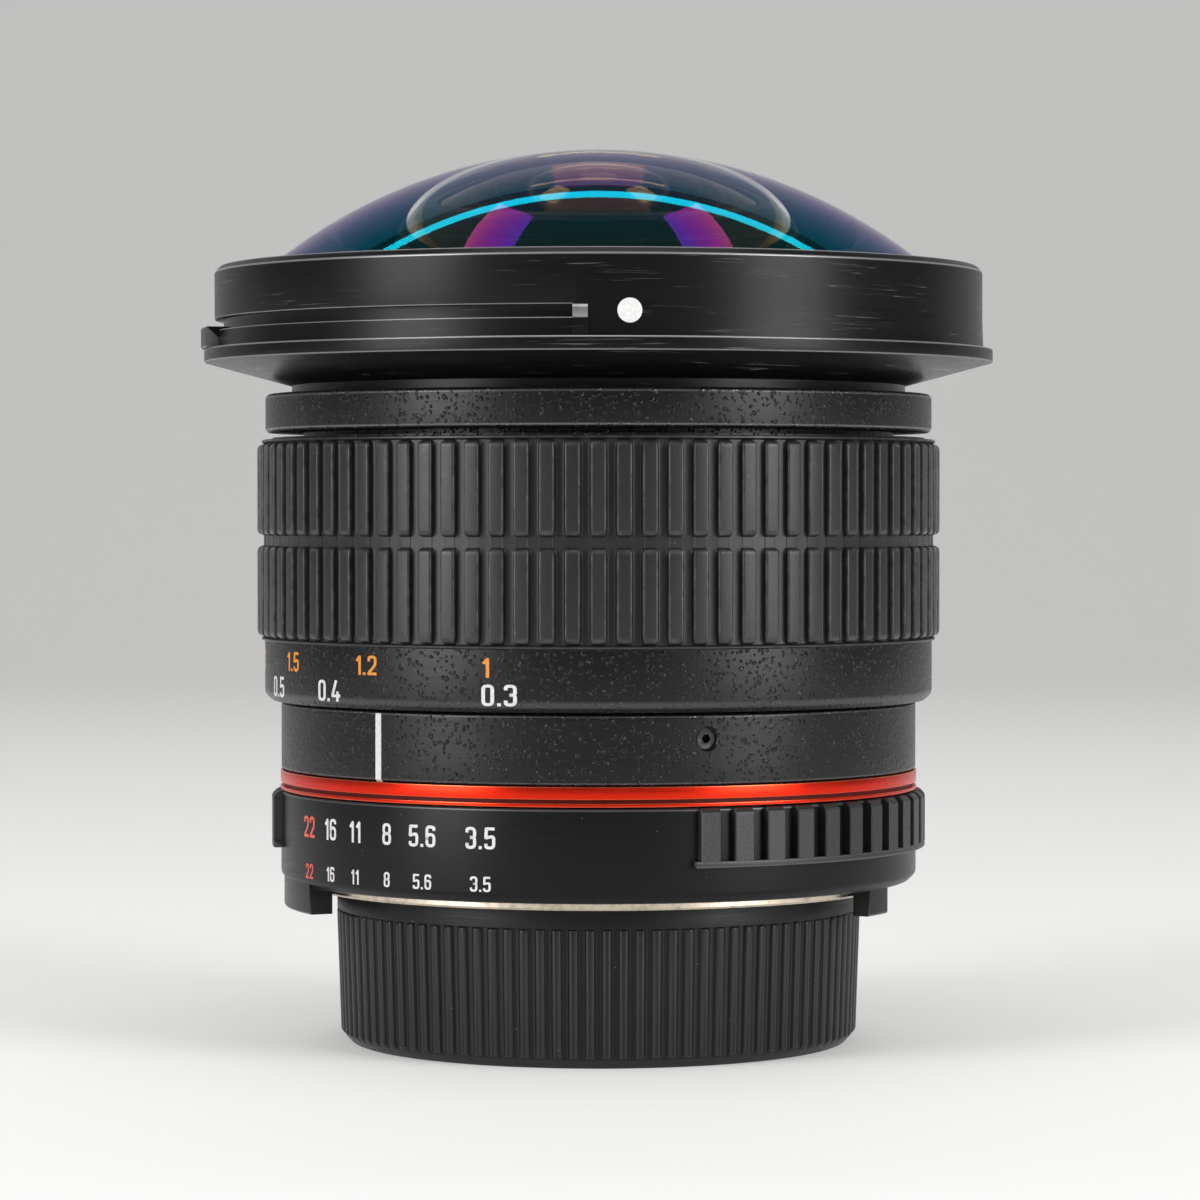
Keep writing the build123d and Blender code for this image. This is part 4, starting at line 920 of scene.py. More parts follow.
def piece_of(name: str, shape: Shape, sharp: float | None = None) -> Piece:
    """Piece from a shape.

    Args:
        name: Name of the piece.
        shape: The shape, which is used up.
        sharp: Angle from which an edge stays sharp, in radians, or flat faces if left out.

    Returns:
        The piece.
    """
    mesh = bpy.data.meshes.new(name)
    shape.to_mesh(mesh)
    shape.free()
    if sharp is not None:
        shade(mesh, sharp)
    return new_object(name, mesh)


def worn_grid(shape: Shape, columns_of_points: Sequence[Sequence[WornPoint]]) -> list[list[Vertex]]:
    """Vertices that carry the wear attribute.

    Args:
        shape: Shape that gets them.
        columns_of_points: Points in metres and their wear, one list for each column.

    Returns:
        The vertices, one list for each column.
    """
    layer = shape.verts.layers.float.new("wear")
    grid = []
    for points in columns_of_points:
        column = []
        for point, wear in points:
            vertex = shape.verts.new(point)
            vertex[layer] = wear
            column.append(vertex)
        grid.append(column)
    return grid


def spot(radius: float, angle: float, height: float) -> Vector:
    """Point in metres at a radius, a polar angle and a height."""
    turn = radians(angle)
    return Vector((radius * cos(turn), radius * sin(turn), height)) * METRE


def turned(
    name: str, section: Section | Callable[[float], Section], angles: Sequence[float] | None = None,
    loop: bool = True, whole: bool = True,
) -> Piece:
    """Turned piece.

    Args:
        name: Name of the piece.
        section: Half-section, or a function that gives it at an angle.
        angles: Columns, even ones if left out.
        loop: False where the section starts and ends on the axis.
        whole: False for a part of a turn, whose ends are closed.

    Returns:
        The piece, smooth with sharp edges.
    """
    shape = bmesh.new()
    columns_of_points = []
    for angle in columns(ROUND_COLUMNS) if angles is None else angles:
        points = rounded(section(angle) if callable(section) else section)
        columns_of_points.append([(spot(radius, angle, height), wear) for radius, height, wear in points])
    grid = worn_grid(shape, columns_of_points)
    for near, far in zip(grid, grid[1:] + (grid[:1] if whole else [])):
        bridge(shape, near, far, loop)
    if not whole:
        cap_ends(shape, grid[0], grid[-1])
    clean(shape)
    return piece_of(name, shape, SHARP_ANGLE)


def ring_section(
    inner: float, outer: float, low: float, high: float, rounding: float, wear: float = 0.0
) -> Section:
    """Half-section of a plain ring.

    Args:
        inner: Inner radius.
        outer: Outer radius.
        low: Height of its lower face.
        high: Height of its upper face.
        rounding: Rounding of its outer edges.
        wear: Wear of its outer edges.

    Returns:
        The half-section.
    """
    return ((inner, low), (outer, low, rounding, wear), (outer, high, rounding, wear), (inner, high))


def arc_piece(name: str, section: Section, start: float, arc: float) -> Piece:
    """Part of a ring, closed at both ends.

    Args:
        name: Name of the piece.
        section: Half-section.
        start: Angle of its first end.
        arc: Arc that it fills.

    Returns:
        The piece.
    """
    count = max(LEAST_COLUMNS, int(arc / ARC_STEP))
    return turned(name, section, columns(count, start=start, arc=arc), whole=False)


def joined(name: str, pieces: Sequence[Piece]) -> Piece:
    """One piece from several that ride together and share a finish.

    Args:
        name: Name of the new piece.
        pieces: The pieces, which are used up.

    Returns:
        The piece.
    """
    shape = bmesh.new()
    for piece in pieces:
        shape.from_mesh(piece.data)
        bpy.data.meshes.remove(piece.data)
    return piece_of(name, shape, SHARP_ANGLE)


def sag(curve: float, reach: float) -> float:
    """Drop of a spherical surface at a distance from the axis, negative where it is hollow."""
    return copysign(abs(curve) - sqrt(curve**2 - reach**2), curve)


# Pieces that repeat round the axis

# Shares of a rib's rise between which its edge is rubbed
RIB_EDGE = (0.6, 0.985)


@dataclass(frozen=True)
class RibRow:
    """Row of a rib's cell: its base, and how much of the rib's rise and width it has."""

    radius: float
    height: float
    rise: float = 0.0
    width: float = 1.0
    wear: float = 0.0


@dataclass(frozen=True)
class RibShape:
    """Cross-section of a rib, as shares of half its pitch and of its rise, from the middle out."""

    pitch: float
    crest: float
    profile: tuple[tuple[float, float], ...]
    foot: float

    def cell(self, name: str, rows: Sequence[RibRow]) -> Piece:
        """Wedge with one rib, to be set round the axis.

        Args:
            name: Name of the piece.
            rows: Closed loop of rows, up the outside and down the inside.

        Returns:
            The wedge.
        """
        half = [(-offset, rise) for offset, rise in reversed(self.profile[1:])]
        columns_of_points = []
        for offset, rise in half + list(self.profile):
            points = []
            for row in rows:
                share = offset * row.width if abs(offset) <= self.foot else offset
                lift = min(rise, row.rise)
                place = spot(row.radius + self.crest * lift, share * self.pitch / 2, row.height)
                on_edge = RIB_EDGE[0] < lift < RIB_EDGE[1] and abs(offset) < self.foot
                points.append((place, max(row.wear, 1.0 if on_edge else 0.0)))
            columns_of_points.append(points)
        shape = bmesh.new()
        grid = worn_grid(shape, columns_of_points)
        for near, far in zip(grid, grid[1:]):
            bridge(shape, near, far)
        bmesh.ops.remove_doubles(shape, verts=shape.verts, dist=MERGE_METRES)
        return piece_of(name, shape)


class RingArray:
    """Geometry Nodes tree that sets copies of a piece round the lens axis, in groups."""

    SEED = 7
    MERGE = 2e-6
    INPUTS = {
        "Geometry": "Geometry", "Count": "Int", "Group Size": "Int", "Seed": "Int", "Start Angle": "Float",
        "Step Angle": "Float", "Group Angle": "Float", "Material": "Material",
    }

    def __init__(self) -> None:
        """Builds the tree."""
        self.tree = bpy.data.node_groups.new("Ring array", "GeometryNodeTree")
        interface = self.tree.interface
        for name, kind in self.INPUTS.items():
            interface.new_socket(name, in_out="INPUT", socket_type="NodeSocket" + kind)
        interface.new_socket("Geometry", in_out="OUTPUT", socket_type="NodeSocketGeometry")
        graph = Graph(self.tree)
        given = graph.outs("NodeGroupInput")
        index = graph.out("GeometryNodeInputIndex")
        group = graph.math("FLOOR", graph.math("DIVIDE", index, given["Group Size"]))
        place = graph.math("MODULO", index, given["Group Size"])
        turn = place * given["Step Angle"] + given["Start Angle"] + group * given["Group Angle"]
        spin = graph.out("ShaderNodeCombineXYZ", {2: turn})
        points = graph.out("GeometryNodePoints", {"Count": given["Count"]})
        spread = {"Points": points, "Instance": given["Geometry"], "Rotation": spin}
        copies = graph.out("GeometryNodeInstanceOnPoints", spread)
        chance = graph.add("FunctionNodeRandomValue", {"Seed": given["Seed"]}, data_type="FLOAT")
        number = Signal(graph, next(socket for socket in chance.outputs if socket.enabled))
        stored = {"Geometry": copies, "Name": "shade"}
        named = graph.add("GeometryNodeStoreNamedAttribute", stored, data_type="FLOAT", domain="INSTANCE")
        graph.feed(next(s for s in named.inputs if s.name == "Value" and s.enabled), number)
        real = graph.out("GeometryNodeRealizeInstances", {0: Signal(graph, named.outputs[0])})
        whole = graph.out("GeometryNodeMergeByDistance", {"Geometry": real, "Distance": self.MERGE})
        dressed = graph.out("GeometryNodeSetMaterial", {"Geometry": whole, "Material": given["Material"]})
        graph.add("NodeGroupOutput", {0: dressed})

    def run(
        self, cell: Piece, finish: Finish, count: int, start: float, step: float,
        group_size: int | None = None, group_angle: float = 0.0, sharp: float = radians(38),
    ) -> Piece:
        """Sets a cell round the axis and makes the result a plain mesh.

        Args:
            cell: Piece at angle 0, which is used up.
            finish: Finish of the result.
            count: Copies in all.
            start: Angle of the first copy.
            step: Angle between copies of a group.
            group_size: Copies in a group, all of them if left out.
            group_angle: Angle between groups.
            sharp: Angle between faces from which an edge stays sharp, in radians.

        Returns:
            The piece.
        """
        modifier = cell.modifiers.new("Ring array", "NODES")
        modifier.node_group = self.tree
        values = {
            "Count": count, "Group Size": group_size or count, "Seed": self.SEED,
            "Start Angle": radians(start), "Step Angle": radians(step), "Group Angle": radians(group_angle),
            "Material": finish.material(),
        }
        for item in self.tree.interface.items_tree:
            if item.item_type == "SOCKET" and item.in_out == "INPUT" and item.name in values:
                modifier[item.identifier] = values[item.name]
        cell.update_tag()
        settle(cell, modifier, sharp)
        return cell


# Numbers and marks


@dataclass(frozen=True)
class Mark:
    """Number on a ring: its text, polar angle, middle height, size and how much it is widened."""

    text: str
    angle: float
    height: float
    size: float
    widen: float = 1.1


# Digits as strokes in a box one unit high: x, y and how far the corner is rounded
Strokes = tuple[tuple[Point, ...], ...]
DIGIT_STROKES: dict[str, Strokes] = {
    "1": (((0.0, 0.70, 0), (0.17, 0.93, 0.02), (0.17, 0.0, 0)),),
    "2": (
        ((0.0, 0.70, 0), (0.0, 0.93, 0.17), (0.34, 0.93, 0.17), (0.34, 0.52, 0.14), (0.0, 0.12, 0.04),
         (0.0, 0.07, 0), (0.41, 0.07, 0)),
    ),
    "3": (
        ((0.0, 0.74, 0), (0.0, 0.93, 0.17), (0.34, 0.93, 0.17), (0.34, 0.52, 0.13), (0.13, 0.52, 0)),
        ((0.13, 0.52, 0), (0.34, 0.52, 0.13), (0.34, 0.07, 0.17), (0.0, 0.07, 0.17), (0.0, 0.27, 0)),
    ),
    "4": (((0.20, 1.0, 0), (-0.02, 0.27, 0.02), (0.44, 0.27, 0)), ((0.28, 0.48, 0), (0.28, 0.0, 0))),
    "5": (
        ((0.38, 0.93, 0), (0.02, 0.93, 0.01), (0.0, 0.52, 0.01), (0.34, 0.60, 0.14), (0.34, 0.07, 0.17),
         (0.0, 0.07, 0.17), (0.0, 0.25, 0)),
    ),
    "7": (((-0.05, 0.93, 0), (0.36, 0.93, 0.02), (0.12, 0.0, 0)),),
    ".": (((0.0, 0.0, 0), (0.0, 0.14, 0)),),
}
DIGIT_LOOPS: dict[str, Strokes] = {
    "0": (((0.0, 0.07, 0.17), (0.34, 0.07, 0.17), (0.34, 0.93, 0.17), (0.0, 0.93, 0.17)),),
    "6": (((0.0, 0.07, 0.17), (0.34, 0.07, 0.17), (0.34, 0.58, 0.17), (0.0, 0.58, 0.17)),),
    "8": (
        ((0.0, 0.07, 0.17), (0.34, 0.07, 0.17), (0.34, 0.52, 0.15), (0.0, 0.52, 0.15)),
        ((0.01, 0.52, 0.15), (0.33, 0.52, 0.15), (0.33, 0.93, 0.16), (0.01, 0.93, 0.16)),
    ),
}
DIGIT_STROKES["6"] = (((0.0, 0.32, 0), (0.0, 0.93, 0.17), (0.34, 0.93, 0.17), (0.34, 0.76, 0)),)
DIGIT_WIDTHS = {"1": 0.17, ".": 0.0}
USUAL_WIDTH = 0.34
DIGIT_GAP = 0.25


class Marker:
    """Sets numbers and plain marks on the outside of a turned piece, as thin solids."""

    DEPTH = 0.03
    PROUD = 0.018
    STROKE = 0.138
    LEAST_MITRE = 0.5
    PATCH_ROWS = 25
    PATCH_STEPS = 9

    def stroke(
        self, shape: Shape, line: Sequence[tuple[float, float]], loop: bool, width: float,
        spot_at: Callable[[float, float, float], Vector],
    ) -> None:
        """Adds a stroke of even width.

        Args:
            shape: Shape that gets it.
            line: Middle of the stroke.
            loop: True where the end joins the start.
            width: Width of the stroke.
            spot_at: Gives the place of a point from its x, its y and how proud it stands.
        """
        rings = []
        for place, (x, y) in enumerate(line):
            back = line[place - 1] if loop or place else line[place]
            ahead = line[(place + 1) % len(line)] if loop or place < len(line) - 1 else line[place]
            before, after = Vector((x - back[0], y - back[1])), Vector((ahead[0] - x, ahead[1] - y))
            before, after = (v.normalized() if v.length > 0 else v for v in (before, after))
            along = (before + after).normalized()
            turn = max(along.dot(after if after.length else before), self.LEAST_MITRE)
            side = Vector((-along.y, along.x)) * (width / 2 / turn)
            corners = ((-1, -self.DEPTH), (1, -self.DEPTH), (1, self.PROUD), (-1, self.PROUD))
            rings.append([shape.verts.new(spot_at(x + s * side.x, y + s * side.y, d)) for s, d in corners])
        for near, far in zip(rings, rings[1:] + (rings[:1] if loop else [])):
            bridge(shape, far, near)
        if not loop:
            cap_ends(shape, rings[0], rings[-1])

    def _write(self, shape: Shape, mark: Mark, radius: float) -> None:
        """Adds a number to a shape, centred on its mark.

        Args:
            shape: Shape that gets it.
            mark: Number and its place.
            radius: Radius of the surface.
        """
        widths = [DIGIT_WIDTHS.get(digit, USUAL_WIDTH) for digit in mark.text]
        left = -(sum(widths) + DIGIT_GAP * (len(widths) - 1)) / 2
        for digit, width in zip(mark.text, widths):

            def spot_at(x: float, y: float, depth: float, left: float = left) -> Vector:
                """Place on the cylinder of a point of the digit."""
                turn = degrees((left + x) * mark.size * mark.widen / radius)
                return spot(radius + depth, mark.angle + turn, mark.height + (y - 0.5) * mark.size)

            for loop, strokes in ((False, DIGIT_STROKES), (True, DIGIT_LOOPS)):
                for corners in strokes.get(digit, ()):
                    line = [point[:2] for point in rounded(corners, 5)]
                    self.stroke(shape, line, loop, self.STROKE, spot_at)
            left += width + DIGIT_GAP

    def numbers(self, name: str, marks: Sequence[Mark], radius: float) -> Piece:
        """Numbers on a cylinder.

        Args:
            name: Name of the piece.
            marks: Numbers and their places.
            radius: Radius of the surface.

        Returns:
            The piece.
        """
        shape = bmesh.new()
        for mark in marks:
            self._write(shape, mark, radius)
        clean(shape)
        return piece_of(name, shape)

    def patch(
        self, name: str, outline: Callable[[float], float], angle: float, half_height: float, height: float,
        surface: Callable[[float], float],
    ) -> Piece:
        """Flat mark on a turned surface.

        Args:
            name: Name of the piece.
            outline: Half width at a share of the half height, from -1 to 1.
            angle: Polar angle of its middle.
            half_height: Half its height.
            height: Height of its middle.
            surface: Radius of the surface at a height.

        Returns:
            The piece.
        """
        shape = bmesh.new()
        sheets = []
        for depth in (self.PROUD, -self.DEPTH):
            sheet = []
            for row in range(self.PATCH_ROWS):
                share = -cos(pi * row / (self.PATCH_ROWS - 1))
                at = height + share * half_height
                base = surface(at)
                half = outline(share)
                line = []
                for step in range(self.PATCH_STEPS):
                    across = (2 * step / (self.PATCH_STEPS - 1) - 1) * half
                    line.append(shape.verts.new(spot(base + depth, angle + degrees(across / base), at)))
                sheet.append(line)
            for low, high in zip(sheet, sheet[1:]):
                bridge(shape, high, low, False)
            sheets.append(sheet)
        front, back = sheets
        for end in (0, -1):
            bridge(shape, [line[end] for line in back], [line[end] for line in front], False)
            bridge(shape, back[end], front[end], False)
        clean(shape)
        return piece_of(name, shape)


# Sub-assemblies


@dataclass
class SubAssembly:
    """Pieces that are built and dressed together, with the tools that they share."""

    array: RingArray
    marker: Marker

    def put(self, piece: Piece, finish: Finish, body: Body, *nodes: str) -> Piece:
        """Dresses a piece and sets it on its body.

        Args:
            piece: The piece, in its place.
            finish: Its finish.
            body: Body that it rides on.
            *nodes: CAD nodes that it stands for.

        Returns:
            The piece.
        """
        if not piece.data.materials:
            piece.data.materials.append(finish.material())
        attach(piece, body.value)
        if nodes:
            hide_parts(*nodes)
        LOG.info("%s: %d faces on %s", piece.name, len(piece.data.polygons), body.value)
        return piece


@dataclass
class RearCap(SubAssembly):
    """Ribbed cup on the back of the lens, with three tabs inside."""

    radius: float = 25.9
    foot_radius: float = 25.5
    foot_inset: float = 1.0
    foot_height: float = 1.1
    rib_depth: float = 0.35
    rib_count: int = 102
    band_bottom: float = 13.15
    top: float = 15.15
    floor: float = 1.5
    inner: float = 24.2
    tab_count: int = 3
    tab_inner: float = 22.3
    tab_root: float = 0.4
    tab_bottom: float = 13.55
    tab_top: float = 15.05
    tab_arc: float = 40.0
    first_tab: float = 150.0

    def build(self) -> None:
        """Builds the cup and its tabs."""
        profile = (
            (0, 1), (0.22, 0.97), (0.4, 0.84), (0.52, 0.58), (0.6, 0.3), (0.67, 0.08), (0.77, 0), (1, 0)
        )
        pitch = FULL_TURN / self.rib_count
        shape = RibShape(pitch, self.rib_depth, profile, 0.7)
        foot_root = self.foot_radius - self.rib_depth
        band_root = self.radius - self.rib_depth
        band_edge = self.radius - 0.02
        rows = [
            RibRow(0, 0), RibRow(self.foot_radius - self.foot_inset - 0.25, 0),
            RibRow(self.foot_radius - self.foot_inset, 0.09),
            RibRow(self.foot_radius - 0.42, self.foot_height - 0.38, wear=0.7),
            RibRow(foot_root - 0.02, self.foot_height - 0.12, 0.15),
            RibRow(foot_root, self.foot_height + 0.02, 0.8, 1.0),
            RibRow(foot_root, self.foot_height + 0.14, 1.0, 1.0),
            RibRow((foot_root + band_root) / 2, (self.foot_height + self.band_bottom) / 2, 1.0),
            RibRow(band_root, self.band_bottom - 0.3, 1.0),
            RibRow(band_root, self.band_bottom - 0.16, 0.96, 0.98),
            RibRow(band_root, self.band_bottom - 0.07, 0.75, 0.94),
            RibRow(band_root, self.band_bottom - 0.03, 0.2, 0.9),
            RibRow(band_root + 0.03, self.band_bottom),
            RibRow(band_edge - 0.06, self.band_bottom + 0.03, wear=0.9),
            RibRow(band_edge, self.band_bottom + 0.1), RibRow(band_edge, self.top - 0.2),
            RibRow(band_edge - 0.05, self.top - 0.06, wear=0.8), RibRow(band_edge - 0.2, self.top),
            RibRow(self.inner + 0.1, self.top), RibRow(self.inner, self.top - 0.1),
            RibRow(self.inner, self.floor + 0.3), RibRow(self.inner - 0.3, self.floor),
            RibRow(0, self.floor),
        ]
        cup = self.array.run(shape.cell("cap_cup", rows), CAP_PLASTIC, self.rib_count, 0.0, pitch)
        self.put(cup, CAP_PLASTIC, Body.CAP, "rear_cap")
        tab = ring_section(self.tab_inner, self.inner + self.tab_root, self.tab_bottom, self.tab_top, 0.05)
        spacing = FULL_TURN / self.tab_count
        tabs = [
            arc_piece("tab", tab, self.first_tab + place * spacing - self.tab_arc / 2, self.tab_arc)
            for place in range(self.tab_count)
        ]
        self.put(joined("cap_tabs", tabs), CAP_PLASTIC, Body.CAP, "rear_cap")


@dataclass
class ApertureRing(SubAssembly):
    """Aperture ring with its skirt, its finger ridges and its two rows of numbers."""

    bottom: float = 16.0
    top: float = 24.85
    radius: float = 31.4
    land: float = 27.7
    recess: float = 28.6
    counterbore: float = 28.7
    ball_groove: tuple[float, float, float] = (19.2, 20.8, 0.27)
    upper_land: float = 23.15
    land_top: float = 18.5
    land_bottom: float = 16.5
    chamfer: float = 0.75
    skirt_bottom: float = 13.5
    overlap: float = 0.3
    ridge: tuple[float, float, float] = (140.0, 66.7, 2.4)
    lug: tuple[float, float, float] = (-31.7, 7.8, 1.8)
    block_rise: float = 0.9
    block_bottom: float = 19.35
    block_width: float = 1.95
    block_chamfer: float = 0.45
    block_bevel: float = 0.11
    block_sharp: float = radians(18)
    block_count: int = 14
    block_pitch: float = 6.05
    first_block: float = -71.1
    rim_height: float = 0.6
    rim_margin: float = 2.6
    upper_row: float = 22.05
    upper_size: float = 2.05
    lower_row: float = 17.78
    lower_size: float = 1.42
    stops: tuple[tuple[str, float], ...] = (
        ("22", -62.0), ("16", -54.3), ("11", -47.1), ("8", -39.2), ("5.6", -31.6), ("3.5", -20.4)
    )

    def build(self) -> None:
        """Builds the ring and what is on it."""
        low, high, deep = self.ball_groove
        body = turned(
            "aperture_ring_body",
            (
                (self.counterbore, self.bottom), (self.radius - self.chamfer, self.bottom, 0.2, 0.5),
                (self.radius, self.bottom + self.chamfer, 0.3), (self.radius, self.top - 0.15, 0.12, 0.7),
                (self.radius - 0.15, self.top, 0.1, 0.9), (self.land, self.top),
                (self.land, self.upper_land), (self.recess, self.upper_land),
                (self.recess, high), (self.recess + deep, high),
                (self.recess + deep, low), (self.recess, low),
                (self.recess, self.land_top), (self.land, self.land_top),
                (self.land, self.land_bottom), (self.counterbore, self.land_bottom),
            ),
        )
        self.put(body, SMOOTH_PAINT, Body.APERTURE, "aperture_ring")
        skirts = []
        for start, arc, wall in (self.ridge, self.lug):
            section = (
                (self.counterbore, self.skirt_bottom),
                (self.counterbore + wall, self.skirt_bottom, 0.25, 0.8),
                (self.counterbore + wall, self.bottom + self.chamfer - 0.05),
                (self.counterbore, self.bottom + self.chamfer - 0.05),
            )
            skirts.append(arc_piece("skirt", section, start, arc))
        self.put(joined("aperture_ring_skirt", skirts), SMOOTH_PAINT, Body.APERTURE, "aperture_ring")
        rims = []
        outer = self.radius + self.block_rise
        for side in range(2):
            high = self.block_bottom + self.rim_height
            section = ring_section(self.radius - self.overlap, outer, self.block_bottom, high, 0.16, 0.8)
            start = self.first_block + side * FULL_TURN / 2 - self.rim_margin
            arc = (self.block_count - 1) * self.block_pitch + 2 * self.rim_margin
            rims.append(arc_piece("rim", section, start, arc))
        self.put(joined("finger_rims", rims), FINGER_PAINT, Body.APERTURE, "aperture_ring")
        blocks = self.array.run(
            self._block(), FINGER_PAINT, 2 * self.block_count, self.first_block, self.block_pitch,
            self.block_count, FULL_TURN / 2, self.block_sharp,
        )
        self.put(blocks, FINGER_PAINT, Body.APERTURE, "aperture_ring")
        self._numbers()

    def _block(self) -> Piece:
        """Finger block at angle 0, with chamfered ends and rounded edges.

        Returns:
            The block.
        """
        outer = self.radius + self.block_rise
        inner = self.radius - self.overlap
        cut = self.block_chamfer
        outline = (
            (inner, self.block_bottom + 0.05), (outer - cut, self.block_bottom + 0.05),
            (outer, self.block_bottom + cut), (outer, self.top - cut), (outer - cut, self.top),
            (inner, self.top),
        )
        shape = bmesh.new()
        left, right = (
            [shape.verts.new(Vector((r, side * self.block_width / 2, z)) * METRE) for r, z in outline]
            for side in (-1, 1)
        )
        cap_ends(shape, left, right)
        bridge(shape, left, right)
        bmesh.ops.recalc_face_normals(shape, faces=shape.faces)
        reach = (inner + self.overlap / 3) * METRE
        rim = [edge for edge in shape.edges if max(v.co.x for v in edge.verts) > reach]
        bevel = self.block_bevel * METRE
        bmesh.ops.bevel(shape, geom=rim, offset=bevel, segments=1, profile=0.5, affect="EDGES")
        return piece_of("finger_blocks", shape)

    def _numbers(self) -> None:
        """Sets both rows of aperture numbers on the ring."""
        for name, stops, finish in (
            ("aperture_number_red", self.stops[:1], STOP_RED),
            ("aperture_numbers", self.stops[1:], WHITE_MARK),
        ):
            rows = ((self.upper_row, self.upper_size), (self.lower_row, self.lower_size))
            marks = [Mark(stop, angle + FRONT, row, size) for stop, angle in stops for row, size in rows]
            self.put(self.marker.numbers(name, marks, self.radius), finish, Body.APERTURE)


@dataclass
class IndexBarrel(SubAssembly):
    """Fixed barrel with the index line, the grub screws' holes and the red ring below it."""

    bore: float = 27.02
    spigot: float = 29.86
    spigot_bottom: float = 25.0
    bottom: float = 26.9
    top: float = 33.6
    radius: float = 31.36
    edge: float = 0.25
    accent_radius: float = 31.45
    accent_fit: float = 0.02
    groove: tuple[float, float, float] = (25.35, 25.7, 0.45)
    # Reach of the painted-shade sheet inwards and outwards from the groove's floor
    groove_shade_sheet_reach: tuple[float, float] = (-0.1, 0.04)
    grub_angles: tuple[float, ...] = (-71.2, 48.8, 168.8)
    grub_height: float = 31.25
    grub_radius: float = 0.97
    grub_sides: int = 24
    grub_chamfer: float = 0.22
    grub_flare: float = 1.54
    overshoot: float = 0.3
    row_step: float = 1.6
    line_angle: float = FRONT - 41.2
    line_width: float = 0.73
    line_margin: float = 0.02

    def build(self) -> None:
        """Builds the barrel, the red ring with a dark sheet of painted shade in its groove, and the index
        line.
        """
        barrel = turned(
            "index_barrel_body",
            (
                (self.bore, self.spigot_bottom), (self.spigot, self.spigot_bottom),
                (self.spigot, self.bottom), (self.radius - self.edge, self.bottom, 0.05),
                (self.radius, self.bottom + self.edge, 0.12, 0.5),
                (self.radius, self.grub_height - self.row_step), (self.radius, self.grub_height),
                (self.radius, self.grub_height + self.row_step),
                (self.radius, self.top - self.edge, 0.12, 0.9),
                (self.radius - self.edge, self.top, 0.05), (self.bore, self.top),
            ),
        )
        self._drill(barrel)
        self.put(barrel, CRACKLE_PAINT, Body.BARREL, "index_barrel")
        low, high, depth = self.groove
        accent = turned(
            "accent_ring_band",
            (
                (self.spigot + self.accent_fit, self.spigot_bottom),
                (self.accent_radius, self.spigot_bottom, 0.08, 0.5),
                (self.accent_radius, low, 0.08, 0.5), (self.accent_radius - depth, low),
                (self.accent_radius - depth, high), (self.accent_radius, high, 0.1, 0.4),
                (self.accent_radius, self.bottom, 0.12, 0.6),
                (self.spigot + self.accent_fit, self.bottom),
            ),
        )
        self.put(accent, ACCENT_PAINT, Body.BARREL, "accent_ring")
        # A thin dark red ring on the groove's floor is painted shade: it darkens the groove where shade
        # falls.
        inner, outer = (self.accent_radius - depth + reach for reach in self.groove_shade_sheet_reach)
        floor = ring_section(inner, outer, low, high, 0.0)
        self.put(turned("accent_groove_painted_shade", floor), ACCENT_GROOVE_PAINTED_SHADE, Body.BARREL, "accent_ring")
        line_bottom = self.bottom + self.line_margin
        half = (self.top - self.edge - self.bottom - self.line_margin) / 2
        line = self.marker.patch(
            "index_line", lambda share: self.line_width / 2, self.line_angle, half, line_bottom + half,
            lambda height: min(self.radius, self.radius - self.edge + (height - self.bottom)),
        )
        self.put(line, WHITE_MARK, Body.BARREL)

    def _drill(self, barrel: Piece) -> None:
        """Cuts the grub screws' holes, each with a small chamfer, through the barrel's wall.

        Args:
            barrel: The barrel.
        """
        shape = bmesh.new()
        for angle in self.grub_angles:
            out, across = spot(1, angle, 0), spot(1, angle + 90, 0)
            loops = []
            for reach, share in (
                (self.bore - 1, 1.0), (self.radius - self.grub_chamfer, 1.0),
                (self.radius + self.overshoot, self.grub_flare),
            ):
                size = self.grub_radius * share
                loop = []
                for side in range(self.grub_sides):
                    turn = 2 * pi * side / self.grub_sides
                    point = out * reach + across * (size * cos(turn))
                    point += Vector((0, 0, (self.grub_height + size * sin(turn)) * METRE))
                    loop.append(shape.verts.new(point))
                loops.append(loop)
            for near, far in zip(loops, loops[1:]):
                bridge(shape, far, near)
            cap_ends(shape, loops[0], loops[-1])
        bmesh.ops.recalc_face_normals(shape, faces=shape.faces)
        drill = piece_of("drill", shape)
        holes = barrel.modifiers.new("Holes", "BOOLEAN")
        holes.operation, holes.solver, holes.object = "DIFFERENCE", "EXACT", drill
        settle(barrel, holes)
        bpy.data.objects.remove(drill)


